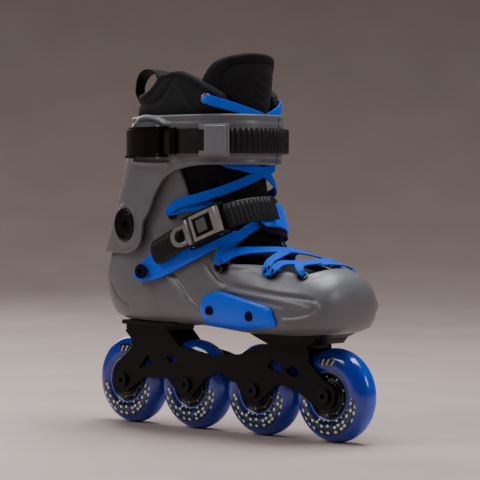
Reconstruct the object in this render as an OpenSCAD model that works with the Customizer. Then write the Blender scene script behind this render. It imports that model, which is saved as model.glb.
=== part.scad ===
// Inline skate, right foot: hard boot, padded liner, hinged cuff, four 80 mm wheels.
// +X points to the toe, +Y to the inner side of the foot, +Z up; the floor is Z = 0.

/* [Wheels] */
// Wheel diameter
wheel_d = 80; // [72:0.5:90]
// Wheel width
wheel_w = 24; // [22:0.5:26]
// Distance between neighbouring axles
axle_pitch = 81; // [76:0.5:90]
// Radius where the tyre meets the hub
hub_r = 19.5; // [16:0.5:22]
// Bearing outer diameter
bearing_d = 22; // [19:1:26]
// Bearing bore
bearing_bore = 8; // [6:1:10]
// Bearing width
bearing_w = 7; // [5:1:8]
// Axle shaft diameter
axle_d = 7.9; // [7.8:0.05:8]

/* [Frame] */
// Half the gap between the two rails
rail_in = 13; // [12.5:0.25:15]
// Rail thickness
rail_t = 3.5; // [2.5:0.25:5]
// Height of the rear mounting face
rear_top = 92; // [86:1:100]
// Height of the front mounting face
front_top = 82; // [80.5:0.5:90]
// Rear mounting bolt position
bolt_rear_x = -90; // [-100:1:-80]
// Front mounting bolt position
bolt_front_x = 75; // [65:1:85]

/* [Boot] */
// Shell wall
shell_wall = 3.5; // [2.5:0.25:5]
// Cuff wall
cuff_wall = 3.2; // [2.5:0.1:4]
// Space between shell and liner
liner_gap = 0.9; // [0.3:0.1:2]
// Liner padding
liner_wall = 5; // [3:0.5:8]

/* [Cuff hinge] */
// Hinge position along the boot
hinge_x = -87.5; // [-95:0.5:-85]
// Hinge height
hinge_z = 184; // [178:1:190]
// Hinge shoulder radius
hinge_r = 8; // [6:0.5:9]
// Boss round the hinge on the shell
boss_r = 10.6; // [10:0.1:12]

/* [Straps] */
// Ankle strap slope
strap_tilt = 22; // [15:1:30]
// Height of the ankle strap plane above the middle of the skate
strap_z = 172; // [160:1:180]
// Ladder strap thickness
ladder_t = 2; // [1.5:0.25:3]

/* [Lace] */
// Lace width
lace_w = 9; // [5:0.5:12]
// Lace thickness
lace_t = 1.4; // [0.8:0.1:2.5]

/* [Hidden] */
$fn = 48;
axles = [-1.5, -0.5, 0.5, 1.5] * axle_pitch;
axle_z = wheel_d / 2;
bearing_in = 12.1 - bearing_w;
sides = 36;

// Boot sections from toe to collar: upper point x z, lower point x z, half width outside,
// half width inside, position of the widest line, upper and lower fullness.
foot = [
    [145.5, 122, 145.5, 112, 8, 8, .5, 2, 2],
    [144, 131, 144, 103, 22, 20, .5, 2, 2],
    [139, 139, 139, 96, 34, 32, .47, 2.1, 2.6],
    [130, 145, 130, 92.5, 42, 41, .42, 2.1, 3.2],
    [116, 149.5, 115, 91, 47, 47, .4, 2.1, 3.8],
    [97, 153, 96, 90, 50, 51, .4, 2.1, 4],
    [76, 160, 73, 90, 51, 52.5, .4, 2.1, 4],
    [62, 167, 46, 90, 49, 50, .41, 2.1, 4],
    [54, 175, 18, 92, 46, 46, .42, 2.2, 4],
    [47, 184, -12, 94, 43, 42, .44, 2.2, 3.8],
    [42, 194, -50, 95, 40.5, 40, .46, 2.2, 3.5],
    [39.5, 204, -95, 95, 39, 38.5, .48, 2.2, 3.2],
    [38.5, 214, -127, 98, 38.5, 38.5, .5, 2.2, 2.8],
    [38, 224, -142, 112, 39, 39, .5, 2.2, 2.4],
    [38, 234, -145.5, 132, 40, 40, .5, 2.3, 2.3],
    [38, 244, -141, 150, 41, 41, .5, 2.3, 2.2],
    [38.5, 254, -130, 172, 43, 43, .5, 2.3, 2.2],
    [39, 265, -120, 200, 46, 46, .5, 2.3, 2.2],
    [39.5, 277, -111, 232, 49, 49, .5, 2.3, 2.3]];
// Liner sections above the ankle, where it narrows towards the shin.
shin = [
    [40, 290, -101, 262, 51, 51, .5, 2.3, 2.3],
    [41, 306, -98, 288, 48, 48, .5, 2.3, 2.3],
    [42, 326, -97, 312, 43, 43, .5, 2.3, 2.3]];
// Cuff sections, bottom to top.
leg = [
    [38, 158, -146, 158, 46, 46, .5, 2.3, 2.3],
    [38, 185, -134.5, 185, 48, 48, .5, 2.3, 2.3],
    [40, 210, -123, 210, 50.5, 50.5, .5, 2.3, 2.3],
    [42, 235, -113.5, 235, 53, 53, .5, 2.3, 2.3],
    [44, 257, -107, 257, 54, 54, .5, 2.3, 2.3],
    [44, 280, -102, 280, 54, 54, .5, 2.3, 2.3]];

function spline(a, b, c, d, t) =
    0.5 * (2 * b + (c - a) * t + (2 * a - 5 * b + 4 * c - d) * t * t
        + (3 * b - a - 3 * c + d) * t * t * t);
function refine(rows, n) = concat(
    [for (i = [0:len(rows) - 2]) for (k = [0:n - 1])
        spline(rows[max(i - 1, 0)], rows[i], rows[i + 1], rows[min(i + 2, len(rows) - 1)],
            k / n)],
    [rows[len(rows) - 1]]);
function unit(v) = v / norm(v);

// A section moved inwards by d, and by db at its lower point.
function inset(row, d, db) =
    let (u = unit([row[0] - row[2], row[1] - row[3]]), f = row[0] > 128 ? d : 0)
    [row[0] - u[0] * d - f, row[1] - u[1] * d, row[2] + u[0] * db - f, row[3] + u[1] * db,
        row[4] - d, row[5] - d, row[6], row[7], row[8]];

// A point of a section at angle a: 0 inside, 90 upper, 180 outside, 270 lower.
function at(row, a) =
    let (top = [row[0], row[1]], bottom = [row[2], row[3]],
        mid = bottom + (top - bottom) * row[6], c = cos(a), s = sin(a),
        n = s >= 0 ? row[7] : row[8], w = c >= 0 ? row[5] : row[4],
        p = mid + ((s >= 0 ? top : bottom) - mid) * pow(abs(s), 2 / n))
    [p[0], w * sign(c) * pow(abs(c), 2 / n), p[1]];
function ring(row, n) = [for (k = [0:n - 1]) at(row, 360 * k / n)];

module loft(rings) {
    n = len(rings[0]);
    m = len(rings);
    polyhedron(
        points = [for (r = rings) each r],
        faces = concat(
            [[for (k = [n - 1:-1:0]) k]],
            [[for (k = [0:n - 1]) (m - 1) * n + k]],
            [for (i = [0:m - 2]) for (k = [0:n - 1]) each [
                [i * n + k, (i + 1) * n + (k + 1) % n, (i + 1) * n + k],
                [i * n + k, i * n + (k + 1) % n, (i + 1) * n + (k + 1) % n]]]));
}
// One continuous moulded skin.
module moulded() {
    resize([0, 0, 0]) children();
}
module side_profile(points, y0, y1) {
    translate([0, y1, 0]) rotate([90, 0, 0]) linear_extrude(y1 - y0) polygon(points);
}
module pin_y(r, x, z, y0, y1) {
    translate([x, y0, z]) rotate([-90, 0, 0]) cylinder(r = r, h = y1 - y0);
}
module both_sides() {
    children();
    mirror([0, 1, 0]) children();
}

// ---- Boot shell ----
throat = [[125, 149], [111, 142], [97, 144], [77, 148], [63, 150], [36, 151], [27, 159],
    [17, 163], [7, 171], [-5, 184], [-15, 204], [-20, 226], [-25, 236], [-40, 234],
    [-60, 214], [-86, 203], [-103, 196], [-112, 188], [-126, 183], [-170, 183], [-170, 330],
    [125, 330]];

module shell_skin() {
    difference() {
        loft([for (r = refine(foot, 2)) ring(r, sides)]);
        loft([for (r = refine([for (i = [1:18]) inset(foot[i], shell_wall, shell_wall + 1)], 1))
            ring(r, sides)]);
        side_profile(throat, -80, 80);
    }
}
eyelets = [[-34, 39.6, 193, 4, -6], [112, 32.8, 141, 53, 12]];
hooks = [[29, 42.3, 148, 16, 0], [83, 39.5, 143, 44, 14]];
// Places a fitting on the outer side of the boot, pointing away from the surface.
module fit(p) {
    translate([p[0], -p[1], p[2]]) rotate([90 - p[3], 0, 0]) rotate([0, p[4], 0]) children();
}
module boot_shell() {
    color("#6f7173") moulded() difference() {
        union() {
            shell_skin();
            both_sides() pin_y(boss_r, hinge_x, hinge_z, -40.9, -36.2);
        }
        both_sides() {
            for (e = eyelets) fit(e) {
                cylinder(r = 3.05, h = 16, center = true, $fn = 24);
                translate([0, 0, 0.35]) cylinder(r = 5.1, h = 8, $fn = 32);
            }
            for (h = hooks) fit(h) {
                cylinder(r = 2.05, h = 16, center = true, $fn = 24);
                translate([0, 0, 0.45]) cylinder(r = 6.1, h = 8, $fn = 32);
            }
            pin_y(5, hinge_x, hinge_z, -50, -30);
            pin_y(9.1, hinge_x, hinge_z, -37.4, -30);
            pin_y(3.05, -66, 142, -50, -30);
            pin_y(2.05, 19, 110, -50, -30);
            pin_y(2.05, 70, 107, -60, -40);
        }
        translate([-119.1, -20.1, 90]) cube([70.2, 40.2, 6.1]);
        translate([35.9, -22.1, 85]) cube([90.2, 44.2, 7.4]);
        for (x = [bolt_rear_x, bolt_front_x]) {
            translate([x, 0, 85]) cylinder(r = 5.6, h = 20);
        }
        translate([bolt_rear_x, 0, 98.1]) cylinder(r = 9.2, h = 6);
    }
}

// ---- Mounting blocks under the shell ----
module heel_mount_block() {
    color("#1c1c1e") difference() {
        translate([-119, -20, rear_top]) cube([70, 40, 4]);
        translate([bolt_rear_x, 0, rear_top - 1]) cylinder(r = 5.6, h = 9);
    }
}
module toe_mount_block() {
    color("#1c1c1e") difference() {
        side_profile([[36, 92.3], [50, 86.5], [62, front_top], [104, front_top], [112, 83],
            [116, 88], [126, 92.3]], -22, 22);
        translate([bolt_front_x, 0, front_top - 1]) cylinder(r = 5.6, h = 16);
    }
}
module insert(x, z0, z1) {
    translate([x, 0, 0]) difference() {
        union() {
            translate([0, 0, z0]) cylinder(r = 5.5, h = z1 - z0);
            translate([0, 0, z1]) cylinder(r = 9, h = 1.4);
        }
        translate([0, 0, z0 - 1]) cylinder(r = 4, h = z1 - z0 + 4);
    }
}
module mount_inserts() {
    color("silver") {
        insert(bolt_rear_x, rear_top + 0.2, 98.2);
        insert(bolt_front_x, front_top + 0.2, 94.7);
    }
}

// ---- Liner, footbed and tongue ----
liner_rows = concat([for (i = [1:18]) inset(foot[i], shell_wall + liner_gap, 8)],
    [for (r = shin) inset(r, 1, 1)]);
module liner() {
    color("#202022") moulded() difference() {
        loft([for (r = liner_rows) ring(r, 36)]);
        loft([for (i = [1:len(liner_rows) - 1]) let (r = inset(liner_rows[i], liner_wall, 4))
            ring(i == len(liner_rows) - 1 ? r + [0, 9, 0, 9, 0, 0, 0, 0, 0] : r, 36)]);
        side_profile([[122, 150], [104, 139], [77, 143], [50, 146], [36, 149], [22, 166], [13, 186],
            [10, 210], [12, 250], [20, 275], [24, 286], [21, 297], [12, 304], [0, 311], [-12, 316],
            [-26, 320], [-42, 320], [-50, 315], [-56, 307], [-66, 301.5], [-80, 300],
            [-120, 299], [-120, 350], [122, 350]], -70, 70);
        both_sides() {
            translate([10, -43, 293.5]) rotate([90, 0, 30])
                cylinder(r = 3.2, h = 20, center = true, $fn = 24);
            pin_y(9.6, hinge_x, hinge_z, -40, -34.3);
        }
        footbed(0.3);
        tongue_body(0.5);
    }
}
// The footbed's outline and thickness, made larger all round by d.
module footbed(d) {
    translate([0, 0, 105 - d]) rotate([0, 1.9, 0]) linear_extrude(2.6 + 2 * d) offset(d) hull() {
        translate([-98, 0]) circle(r = 21);
        translate([55, -6]) circle(r = 28);
        translate([55, 6]) circle(r = 28);
        translate([88, 3]) circle(r = 18);
    }
}
module insole() {
    color("#3c3c40") footbed(0);
}
// Tongue sections up the instep and shin: front point x z, half width, depth of the curve.
tongue_rows = [
    [108, 141, 24, 6, 55], [88, 145, 26, 8, 62], [70, 151, 27, 9, 60], [56, 160, 27, 10, 52],
    [45, 174, 28, 12, 38], [37, 192, 29, 14, 24], [32.5, 214, 30, 17, 12],
    [32, 240, 32, 23, 4], [34, 268, 36, 30, 2], [37, 296, 39, 36, 4], [40, 316, 40, 38, 5],
    [41, 327, 38, 34, 6], [41, 332, 35, 29, 6]];
// A section across the tongue, made larger all round by g.
function tongue_ring(r, n, g) =
    let (u = [sin(r[4]), cos(r[4])], t = r[1] > 300 ? 9 : 6, w = r[2] + g)
    concat(
        [for (k = [n:-1:-n]) let (f = k / n, e = r[3] * f * f - g)
            [r[0] - e * u[1], w * f, r[1] - e * u[0]]],
        [for (k = [-n:n])
            let (f = k / n, e = r[3] * f * f + 2.4 * g + t * pow(max(1 - f * f, 0.04), 0.5))
            [r[0] - e * u[1], w * f * 0.96, r[1] - e * u[0]]]);
module tongue_body(g) {
    loft([for (r = refine(tongue_rows, 2)) tongue_ring(r, 6, g)]);
}
module tongue() {
    color("#18181a") moulded() tongue_body(0);
}
// A flat tape along a path; each point carries the direction it faces.
function tape_ring(p, q, nrm, w, t) =
    let (d = unit(q), s = unit(cross(d, nrm)), n = unit(cross(s, d)))
    [p - s * w / 2 - n * t / 2, p + s * w / 2 - n * t / 2, p + s * w / 2 + n * t / 2,
        p - s * w / 2 + n * t / 2];
module tape(path, face, w, t, steps) {
    r = refine(path, steps);
    m = len(r) - 1;
    loft([for (i = [0:m])
        tape_ring(r[i], r[min(i + 1, m)] - r[max(i - 1, 0)], r[i] - face, w, t)]);
}
module pull_loop() {
    color("#161618") tape([[-100.4, 0, 281.6], [-102, 0, 288], [-109, 0, 297], [-114, 0, 307],
        [-109.5, 0, 319], [-98, 0, 324], [-85, 0, 320], [-80, 0, 309], [-81.5, 0, 301]],
        [-97, 0, 303], 22, 1.8, 3);
}
module liner_grommets() {
    color("#8c8c90") both_sides() translate([10, -43, 293.5]) rotate([90, 0, 30]) difference() {
        union() {
            cylinder(r = 4.5, h = 1);
            translate([0, 0, -5]) cylinder(r = 3, h = 5);
        }
        translate([0, 0, -6]) cylinder(r = 2.2, h = 8);
    }
}

// ---- Lace and its fittings ----
// Each crossing goes from one side to the other over the tongue; the last point is below it,
// and the lace faces away from that.
crossings = [
    [[106, -35, 147.2], [103, -26, 149.5], [96, 0, 150], [90, 30, 152], [87.5, 36.4, 150],
        [85, 0, 110]],
    [[79, -37, 150], [75, -29, 155], [66, 0, 160], [50, 29, 161], [37, 38, 161], [40, 0, 115]],
    [[27.5, -44.6, 158], [30.6, -37.4, 165], [33.4, -28.4, 172], [38.6, -19, 180], [41.6, 0, 187],
        [34.2, 19, 191], [25, 26.8, 194.6], [15.2, 32.6, 199], [7, 38.2, 203], [-14, 42, 203],
        [5, 0, 185]],
    [[-22, -42.5, 204], [20, -34, 212], [35.5, 0, 230], [26, 26, 250], [23, 25, 273],
        [-20, 0, 230]],
    [[15, -45.4, 289.5], [22, -39.5, 288.5], [29, -30, 286], [36, -13, 280], [37, 0, 275],
        [32, 14, 266], [-20, 0, 260]]];
module lace() {
    color("#1463d8") moulded() difference() {
        for (c = crossings) for (side = [-1, 1]) {
            tape([for (k = [0:len(c) - 2]) [c[k][0], side * c[k][1], c[k][2] + side * 0.5]],
                c[len(c) - 1], lace_w, lace_t, 3);
        }
        tongue_body(0.1);
        strap_plane() {
            loft(strap_rings(strap_rows(0, 11, [[-16.2, 13], [-16.2, 13]]), -0.05, 7));
            loft(strap_rings(strap_rows(10, 22, [[-18.2, 19.2], [-18.2, 19.2]]), 0.05, 7));
        }
    }
}
module lace_eyelets() {
    color("#2a2a2c") both_sides() for (e = eyelets) fit(e) difference() {
        union() {
            translate([0, 0, 0.4]) cylinder(r = 5, h = 1.2);
            translate([0, 0, -3.1]) cylinder(r = 3, h = 3.6);
        }
        translate([0, 0, -6]) cylinder(r = 2.2, h = 9);
    }
}
module lace_hooks() {
    color("#1a1a1c") both_sides() for (h = hooks) fit(h) {
        translate([0, 0, 0.5]) cylinder(r = 6, h = 1.4);
        translate([0, 0, -2.5]) cylinder(r = 2, h = 3.3);
        for (x = [-3.6, 3.6]) translate([x, 0, 1]) rotate([0, 90, 0])
            rotate([0, 0, 90]) rotate_extrude(angle = 160) translate([4.6, 0]) circle(r = 1.3, $fn = 20);
        translate([-3.6, -4.32, 2.57]) rotate([0, 90, 0]) cylinder(r = 1.3, h = 7.2, $fn = 20);
    }
}

// ---- Abrasion pads on the sides ----
slider_shape = [[4, 106], [5, 117], [10, 123], [22, 126], [37, 126], [89, 116.5], [94, 113],
    [95.5, 109], [95, 100], [53, 94.5], [9, 96], [5, 100]];
// Seats of the pad screws: x, z and distance from the middle, negative on the outer side.
slider_seats = [[19, 110, -47.9], [70, 107, -52.9], [19, 110, 47.9], [70, 107, 54.4]];
module screw_place(s) {
    translate([s[0], s[2], s[1]]) rotate([s[2] < 0 ? -90 : 90, 0, 0]) children();
}
module slider_body(y0, y1) {
    moulded() difference() {
        intersection() {
            loft([for (r = refine([for (i = [2:12]) inset(foot[i], -3.4, -1.2)], 2)) ring(r, sides)]);
            side_profile(slider_shape, y0, y1);
        }
        loft([for (r = refine([for (i = [1:13]) inset(foot[i], -0.15, -0.15)], 2))
            ring(r, sides)]);
        for (s = slider_seats) screw_place(s) {
            translate([0, 0, -12]) cylinder(r = 4.3, h = 12);
            cylinder(r = 2.3, h = 12);
        }
    }
}
module slider_lateral() {
    color("#1560cc") slider_body(-70, -26);
}
module slider_medial() {
    color("#1560cc") slider_body(26, 70);
}
module slider_screws() {
    color("#141416") for (s = slider_seats) screw_place(s) {
        cylinder(r = 2, h = 5.6);
        difference() {
            translate([0, 0, -2]) cylinder(r = 4, h = 2);
            translate([0, 0, -3]) cylinder(r = 1.6, h = 2, $fn = 6);
        }
    }
}

// ---- Ankle strap ----
// Places a part in the sloping plane of the ankle strap.
module strap_plane() {
    translate([0, 0, strap_z]) rotate([0, -strap_tilt, 0]) children();
}
strap_path = [[-86, -40.6], [-72.4, -40.8], [-60, -41], [-44, -41.2], [-26, -41.4], [-8, -41.4],
    [8, -40.5], [20, -37.5], [31, -31.5], [40, -23.5], [46.5, -13], [49.5, 0]];
strap_line = concat(strap_path, [for (i = [10:-1:0]) [strap_path[i][0], -strap_path[i][1]]]);
// A strap along the path rows [x, y, lower edge, upper edge], from depth d0 to depth d1.
function strap_rings(rows, d0, d1) =
    [for (i = [0:len(rows) - 1])
        let (a = rows[max(i - 1, 0)], b = rows[min(i + 1, len(rows) - 1)], r = rows[i],
            t = unit([b[0] - a[0], b[1] - a[1]]), n = [t[1], -t[0]])
        [[r[0] + n[0] * d0, r[1] + n[1] * d0, r[2]], [r[0] + n[0] * d1, r[1] + n[1] * d1, r[2]],
            [r[0] + n[0] * d1, r[1] + n[1] * d1, r[3]], [r[0] + n[0] * d0, r[1] + n[1] * d0, r[3]]]];
function strap_rows(i0, i1, edges) =
    [for (i = [i0:i1]) let (f = (i - i0) / (i1 - i0) * (len(edges) - 1),
        k = min(floor(f), len(edges) - 2), e = edges[k] + (edges[k + 1] - edges[k]) * (f - k))
        [strap_line[i][0], strap_line[i][1], e[0], e[1]]];
module strap_lateral() {
    color("#1560cc") strap_plane() difference() {
        moulded() loft(strap_rings(refine(strap_rows(0, 9,
            [[-9, 3], [-12, 6], [-15, 8], [-16, 11], [-16, 12], [-16, 12], [-16, 8], [-16, 0],
                [-16, -6], [-15, -8]]), 2), 0, 2.6));
        translate([-72.4, 0, -3.1]) rotate([90, 0, 0]) cylinder(r = 3.2, h = 60);
    }
}
module strap_medial() {
    color("#1560cc") strap_plane() {
        difference() {
            moulded() loft(strap_rings(refine(strap_rows(10, 22,
                [[-9, 10], [-12, 12], [-12, 12], [-12, 12], [-13, 11], [-14, 10], [-14, 8], [-12, 6],
                    [-9, 3]]), 2), 2.9, 5.5));
            translate([-72.4, 60, -3.1]) rotate([90, 0, 0]) cylinder(r = 3.2, h = 60);
        }
    }
}
module strap_pad() {
    color("#1b1b1d") strap_plane() moulded() loft(strap_rings(refine(strap_rows(10, 15,
        [[-14, 15], [-18, 19], [-18, 19], [-14, 15]]), 2), 0.2, 2.6));
}
module strap_screws() {
    color("#101012") {
        both_sides() difference() {
            union() {
                pin_y(3, -66, 142, -46.6, -37.4);
                pin_y(6.5, -66, 142, -48.6, -46.5);
            }
            translate([-66, -47, 142]) rotate([90, 0, 0]) cylinder(r = 2.5, h = 3, $fn = 6);
        }
    }
}
ladder_path = [[-54, -45.6], [-42, -47.2], [-24, -49.2], [-4, -49.7], [6.9, -48], [17.8, -46.3],
    [28.6, -44.6], [39.5, -42.8], [47, -37], [53, -27], [56.5, -14], [58, 0]];
module ankle_ladder() {
    rows = refine([for (p = ladder_path) [p[0], p[1], -5 - p[1] * 0.03, 15 + p[1] * 0.03]], 8);
    color("#19191b") strap_plane() moulded() {
        loft(strap_rings([for (i = [0:4:len(rows) - 1]) rows[i]], 0, ladder_t));
        for (i = [0:2:len(rows) - 4]) if (i < 12 || i > 62) {
            loft(strap_rings([for (k = [0:1]) rows[i + k] + [0, 0, 1.6, -1.6]], ladder_t - 0.4,
                ladder_t + 0.9));
        }
    }
}
module buckle_place() {
    strap_plane() translate([17, -41.5, 4.5]) rotate([0, 0, 9]) children();
}
module ankle_buckle_base() {
    color("#1f1f21") buckle_place() difference() {
        union() {
            translate([-22, -4.6, -14]) cube([44, 1.6, 28]);
            for (z = [-14, 11.6]) hull() {
                translate([-22, -8, z]) cube([44, 4, 2.4]);
                for (x = [-16, 16]) translate([x, -10.5, z]) cylinder(r = 3, h = 2.4, $fn = 32);
            }
        }
        for (x = [-16, 16]) translate([x, -11, -20]) cylinder(r = 1.25, h = 40);
    }
}
module ankle_buckle_pins() {
    color("silver") buckle_place() for (x = [-16, 16]) {
        translate([x, -11, -14.2]) cylinder(r = 1.2, h = 28.4);
    }
}
module ankle_buckle_lever() {
    color("#8e8e92") buckle_place() difference() {
        union() {
            translate([16, -11, -11.4]) cylinder(r = 3, h = 22.8);
            lever_side([[16, -14], [20, -13], [16, -11.4], [-10, -13], [-11, -14.5], [-9, -15.6],
                [10, -15.4]], -11.4, 22.8);
            for (z = [-11.4, 8.4]) lever_side([[17, -13.5], [16, -8.5], [-4, -10.2],
                [-9, -13.5]], z, 3);
        }
        translate([16, -11, -20]) cylinder(r = 1.25, h = 40);
        translate([-5.1, -17, -6.1]) cube([15.2, 6, 12.2]);
    }
}
module lever_side(points, z0, h) {
    translate([0, 0, z0]) linear_extrude(h) polygon(points);
}
module ankle_buckle_insert() {
    color("#121214") buckle_place() translate([-5, -14.9, -6]) cube([15, 2.6, 12]);
}
module ankle_buckle_release() {
    color("#8e8e92") buckle_place() difference() {
        union() {
            translate([-16, -11, -11.4]) cylinder(r = 2.8, h = 22.8);
            translate([-27, -12.2, -9]) cube([11, 2.4, 18]);
            translate([-27, -9.8, 0]) rotate([90, 0, 0]) cylinder(r = 9, h = 2.4);
        }
        translate([-16, -11, -20]) cylinder(r = 1.25, h = 40);
        translate([-26, -6, 0]) rotate([90, 0, 0]) cylinder(r = 5.6, h = 10);
        translate([-26, -16, -5.6]) cube([5, 10, 11.2]);
    }
}

// ---- Cuff ----
cuff_side = [[-170, 156], [-99, 156], [-88, 158], [-76, 160], [-67, 169], [-63.5, 187],
    [-54, 196], [-44, 213], [-31, 226], [-13, 233], [12, 236], [60, 236], [60, 290], [-170, 290]];
module cuff() {
    color("#6f7173") moulded() difference() {
        union() {
            intersection() {
                difference() {
                    loft([for (r = refine(leg, 2)) ring(r, 48)]);
                    loft([for (r = refine([for (r = leg) inset(r, cuff_wall, cuff_wall)], 1))
                        ring([for (k = [0:8]) k == 1 || k == 3
                            ? r[k] + (r[1] > 270 ? 3 : r[1] < 170 ? -5 : 0) : r[k]], 48)]);
                }
                side_profile(cuff_side, -90, 90);
            }
            both_sides() pin_y(11, hinge_x, hinge_z, -44.6, -41.2);
        }
        both_sides() {
            pin_y(hinge_r, hinge_x, hinge_z, -50, -38);
            pin_y(boss_r + 0.2, hinge_x, hinge_z, -41.15, -30);
            pin_y(9.4, hinge_x, hinge_z, -60, -44.65);
        }
        rotate([0, 0, 22]) translate([0, -1.2, 200]) cube([80, 2.4, 100]);
    }
}
module hinge_caps() {
    color("#141416") both_sides() translate([-90.6, -44.8, hinge_z]) rotate([90, 0, -13]) difference() {
        cylinder(r = 15, h = 1.8, center = true);
        cylinder(r = 12.5, h = 6, center = true);
    }
}
module hinge_bolts() {
    color("#3a3a3e") both_sides() difference() {
        union() {
            pin_y(4.9, hinge_x, hinge_z, -42, -35.1);
            pin_y(hinge_r - 0.05, hinge_x, hinge_z, -44.8, -41);
            pin_y(8.7, hinge_x, hinge_z, -46.6, -44.7);
        }
        pin_y(3.2, hinge_x, hinge_z, -48, -43);
    }
}
module hinge_nuts() {
    color("silver") both_sides() difference() {
        pin_y(9, hinge_x, hinge_z, -37.3, -35.2);
        pin_y(4.95, hinge_x, hinge_z, -40, -30);
    }
}
// A point of the cuff's outer surface at angle a and height z, moved outwards by d.
function cuff_row(z) =
    let (i = z < 210 ? 1 : z < 235 ? 2 : z < 257 ? 3 : 4, f = (z - leg[i][1])
        / (leg[i + 1][1] - leg[i][1])) leg[i] + (leg[i + 1] - leg[i]) * f;
function cuff_point(a, z, d) =
    let (r = cuff_row(z), p = at(r, a), h = (r[0] - r[2]) / 2,
        n = unit([sign(sin(a)) * pow(abs(sin(a)), 1.13) / h,
            sign(cos(a)) * pow(abs(cos(a)), 1.13) / r[4], 0])) p + n * d;
function cuff_band(a0, a1, m, z0, z1, d0, d1) =
    [for (k = [0:m]) let (a = a0 + (a1 - a0) * k / m)
        [cuff_point(a, z0, d0), cuff_point(a, z0, d1), cuff_point(a, z1, d1),
            cuff_point(a, z1, d0)]];
module cuff_strip(a0, a1, m, z0, z1, d0, d1) {
    loft(cuff_band(a0, a1, m, z0, z1, d0, d1));
}
module cuff_ladder() {
    color("#19191b") moulded() difference() {
        union() {
            cuff_strip(203, 8, 42, 246, 268, 1.9, 1.9 + ladder_t);
            for (k = [0:21]) {
                cuff_strip(126 - k * 4.4, 123.8 - k * 4.4, 1, 247.5, 266.5, 1.5 + ladder_t,
                    2.9 + ladder_t);
            }
        }
        rivet_place() cylinder(r = 2.7, h = 7, $fn = 32);
    }
}
module rivet_place() {
    translate([-14, 52.4, 257]) rotate([-90, 0, -7]) children();
}
module cuff_ladder_rivet() {
    color("#2c2c2e") rivet_place() {
        translate([0, 0, 4.7]) cylinder(r = 5, h = 1.4);
        translate([0, 0, 1.4]) cylinder(r = 2.5, h = 3.8);
    }
}
module cuff_guide_loop() {
    color("#7b7d80") moulded() difference() {
        cuff_strip(150, 128, 6, 243.5, 271, 0.8, 7.4);
        cuff_strip(153, 125, 7, 245.6, 268.6, 1.6, 5.2);
    }
}
module cuff_buckle_base() {
    color("#131315") moulded() difference() {
        union() {
            cuff_strip(216, 176, 10, 243, 270, 0.4, 1.6);
            cuff_strip(208, 176, 7, 243, 245.4, 1.2, 9);
            cuff_strip(208, 176, 7, 268.4, 270, 1.2, 9);
        }
        translate([-31.5, -60.7, 230]) cylinder(r = 1.55, h = 60, $fn = 24);
    }
}
module cuff_buckle_rivets() {
    color("#2c2c2e") translate([-77.6, -48.1, 257]) rotate([90, 0, -26]) {
        for (z = [-8, 8]) translate([0, z, 0]) cylinder(r = 2.2, h = 1, $fn = 24);
    }
}
module cuff_buckle_pin() {
    color("silver") translate([-31.5, -60.7, 242.6]) cylinder(r = 1.5, h = 28);
}
module cuff_buckle_lever() {
    color("#0c0c0e") difference() {
        union() {
            translate([-31.5, -60.7, 245.8]) cylinder(r = 2.4, h = 22.2);
            translate([0, 0, 245.8]) linear_extrude(22.2) polygon([[-30.6, -62.7], [-50, -62.2],
                [-66, -58.7], [-78, -53.2], [-84.8, -47], [-83.2, -45.8], [-76.5, -51],
                [-65, -55.8], [-50, -59.1], [-30.6, -58.8]]);
        }
        translate([-31.5, -60.7, 230]) cylinder(r = 1.55, h = 60);
    }
}

// ---- Frame ----
rail_side = [[-115, rear_top - 4], [-118, 86], [-109.5, 78], [-109.5, 72], [-114.5, 66],
    [-123.4, 59.6], [-133, 44], [-110, 33], [-94, 44], [-70, 44.5], [-64, 44.5], [-52, 34],
    [-29, 34], [-18, 46], [-4, 52.5], [4, 52.5], [14, 46.5], [20, 46], [29, 34], [52, 34],
    [68, 46.5], [78, 46.5], [94, 41], [113, 31], [133.4, 42], [130, 46.6], [116.6, 57],
    [104, 68], [102, front_top], [60, front_top], [54, front_top - 2], [24.4, 70.6],
    [10.6, 70], [-9, 66.8], [-19.5, 69.7], [-49, 74.6], [-63, rear_top - 4]];
windows = [[[-100, 52.5], [-89.5, 64], [-82, 58], [-86, 55]],
    [[-66, 64], [-56.5, 67], [-52, 60], [-60, 59]],
    [[57, 61], [63, 68], [75, 62], [72, 57]],
    [[78, 60], [89, 65], [95, 54], [84.6, 55]]];
module rail() {
    difference() {
        union() {
            side_profile(rail_side, -rail_in - rail_t, -rail_in);
            for (x = axles) {
                pin_y(12, x, axle_z, -rail_in - rail_t, -rail_in);
                pin_y(6.5, x, axle_z, -rail_in - 1, -12.15);
            }
        }
        for (w = windows) side_profile(w, -30, -5);
    }
}
module wheel_frame() {
    color("#1b1b1d") difference() {
        union() {
            both_sides() rail();
            translate([-115, -18, rear_top - 4.01]) cube([52, 36, 4.01]);
            translate([60, -16.5, front_top - 3.5]) cube([42, 33, 3.5]);
            translate([-5.5, -13.1, 61.5]) cube([11, 26.2, 4]);
        }
        for (x = axles) {
            pin_y(axle_d / 2 + 0.1, x, axle_z, -30, 0);
            pin_y(axle_d / 2 + 0.02, x, axle_z, 0, 30);
        }
        translate([bolt_rear_x, 0, 80]) cylinder(r = 4.2, h = 20);
        translate([bolt_front_x, 0, 70]) cylinder(r = 4.2, h = 20);
    }
}
module frame_bolt(x, z) {
    translate([x, 0, z]) difference() {
        union() {
            translate([0, 0, -7.2]) cylinder(r = 6.5, h = 5.6);
            translate([0, 0, -1.7]) cylinder(r = 3.95, h = 12.8);
        }
        translate([0, 0, -8]) cylinder(r = 3.46, h = 4, $fn = 6);
    }
}
module frame_bolts() {
    color("#9a9a9e") {
        frame_bolt(bolt_rear_x, rear_top - 4);
        frame_bolt(bolt_front_x, front_top - 3.5);
    }
}
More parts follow.
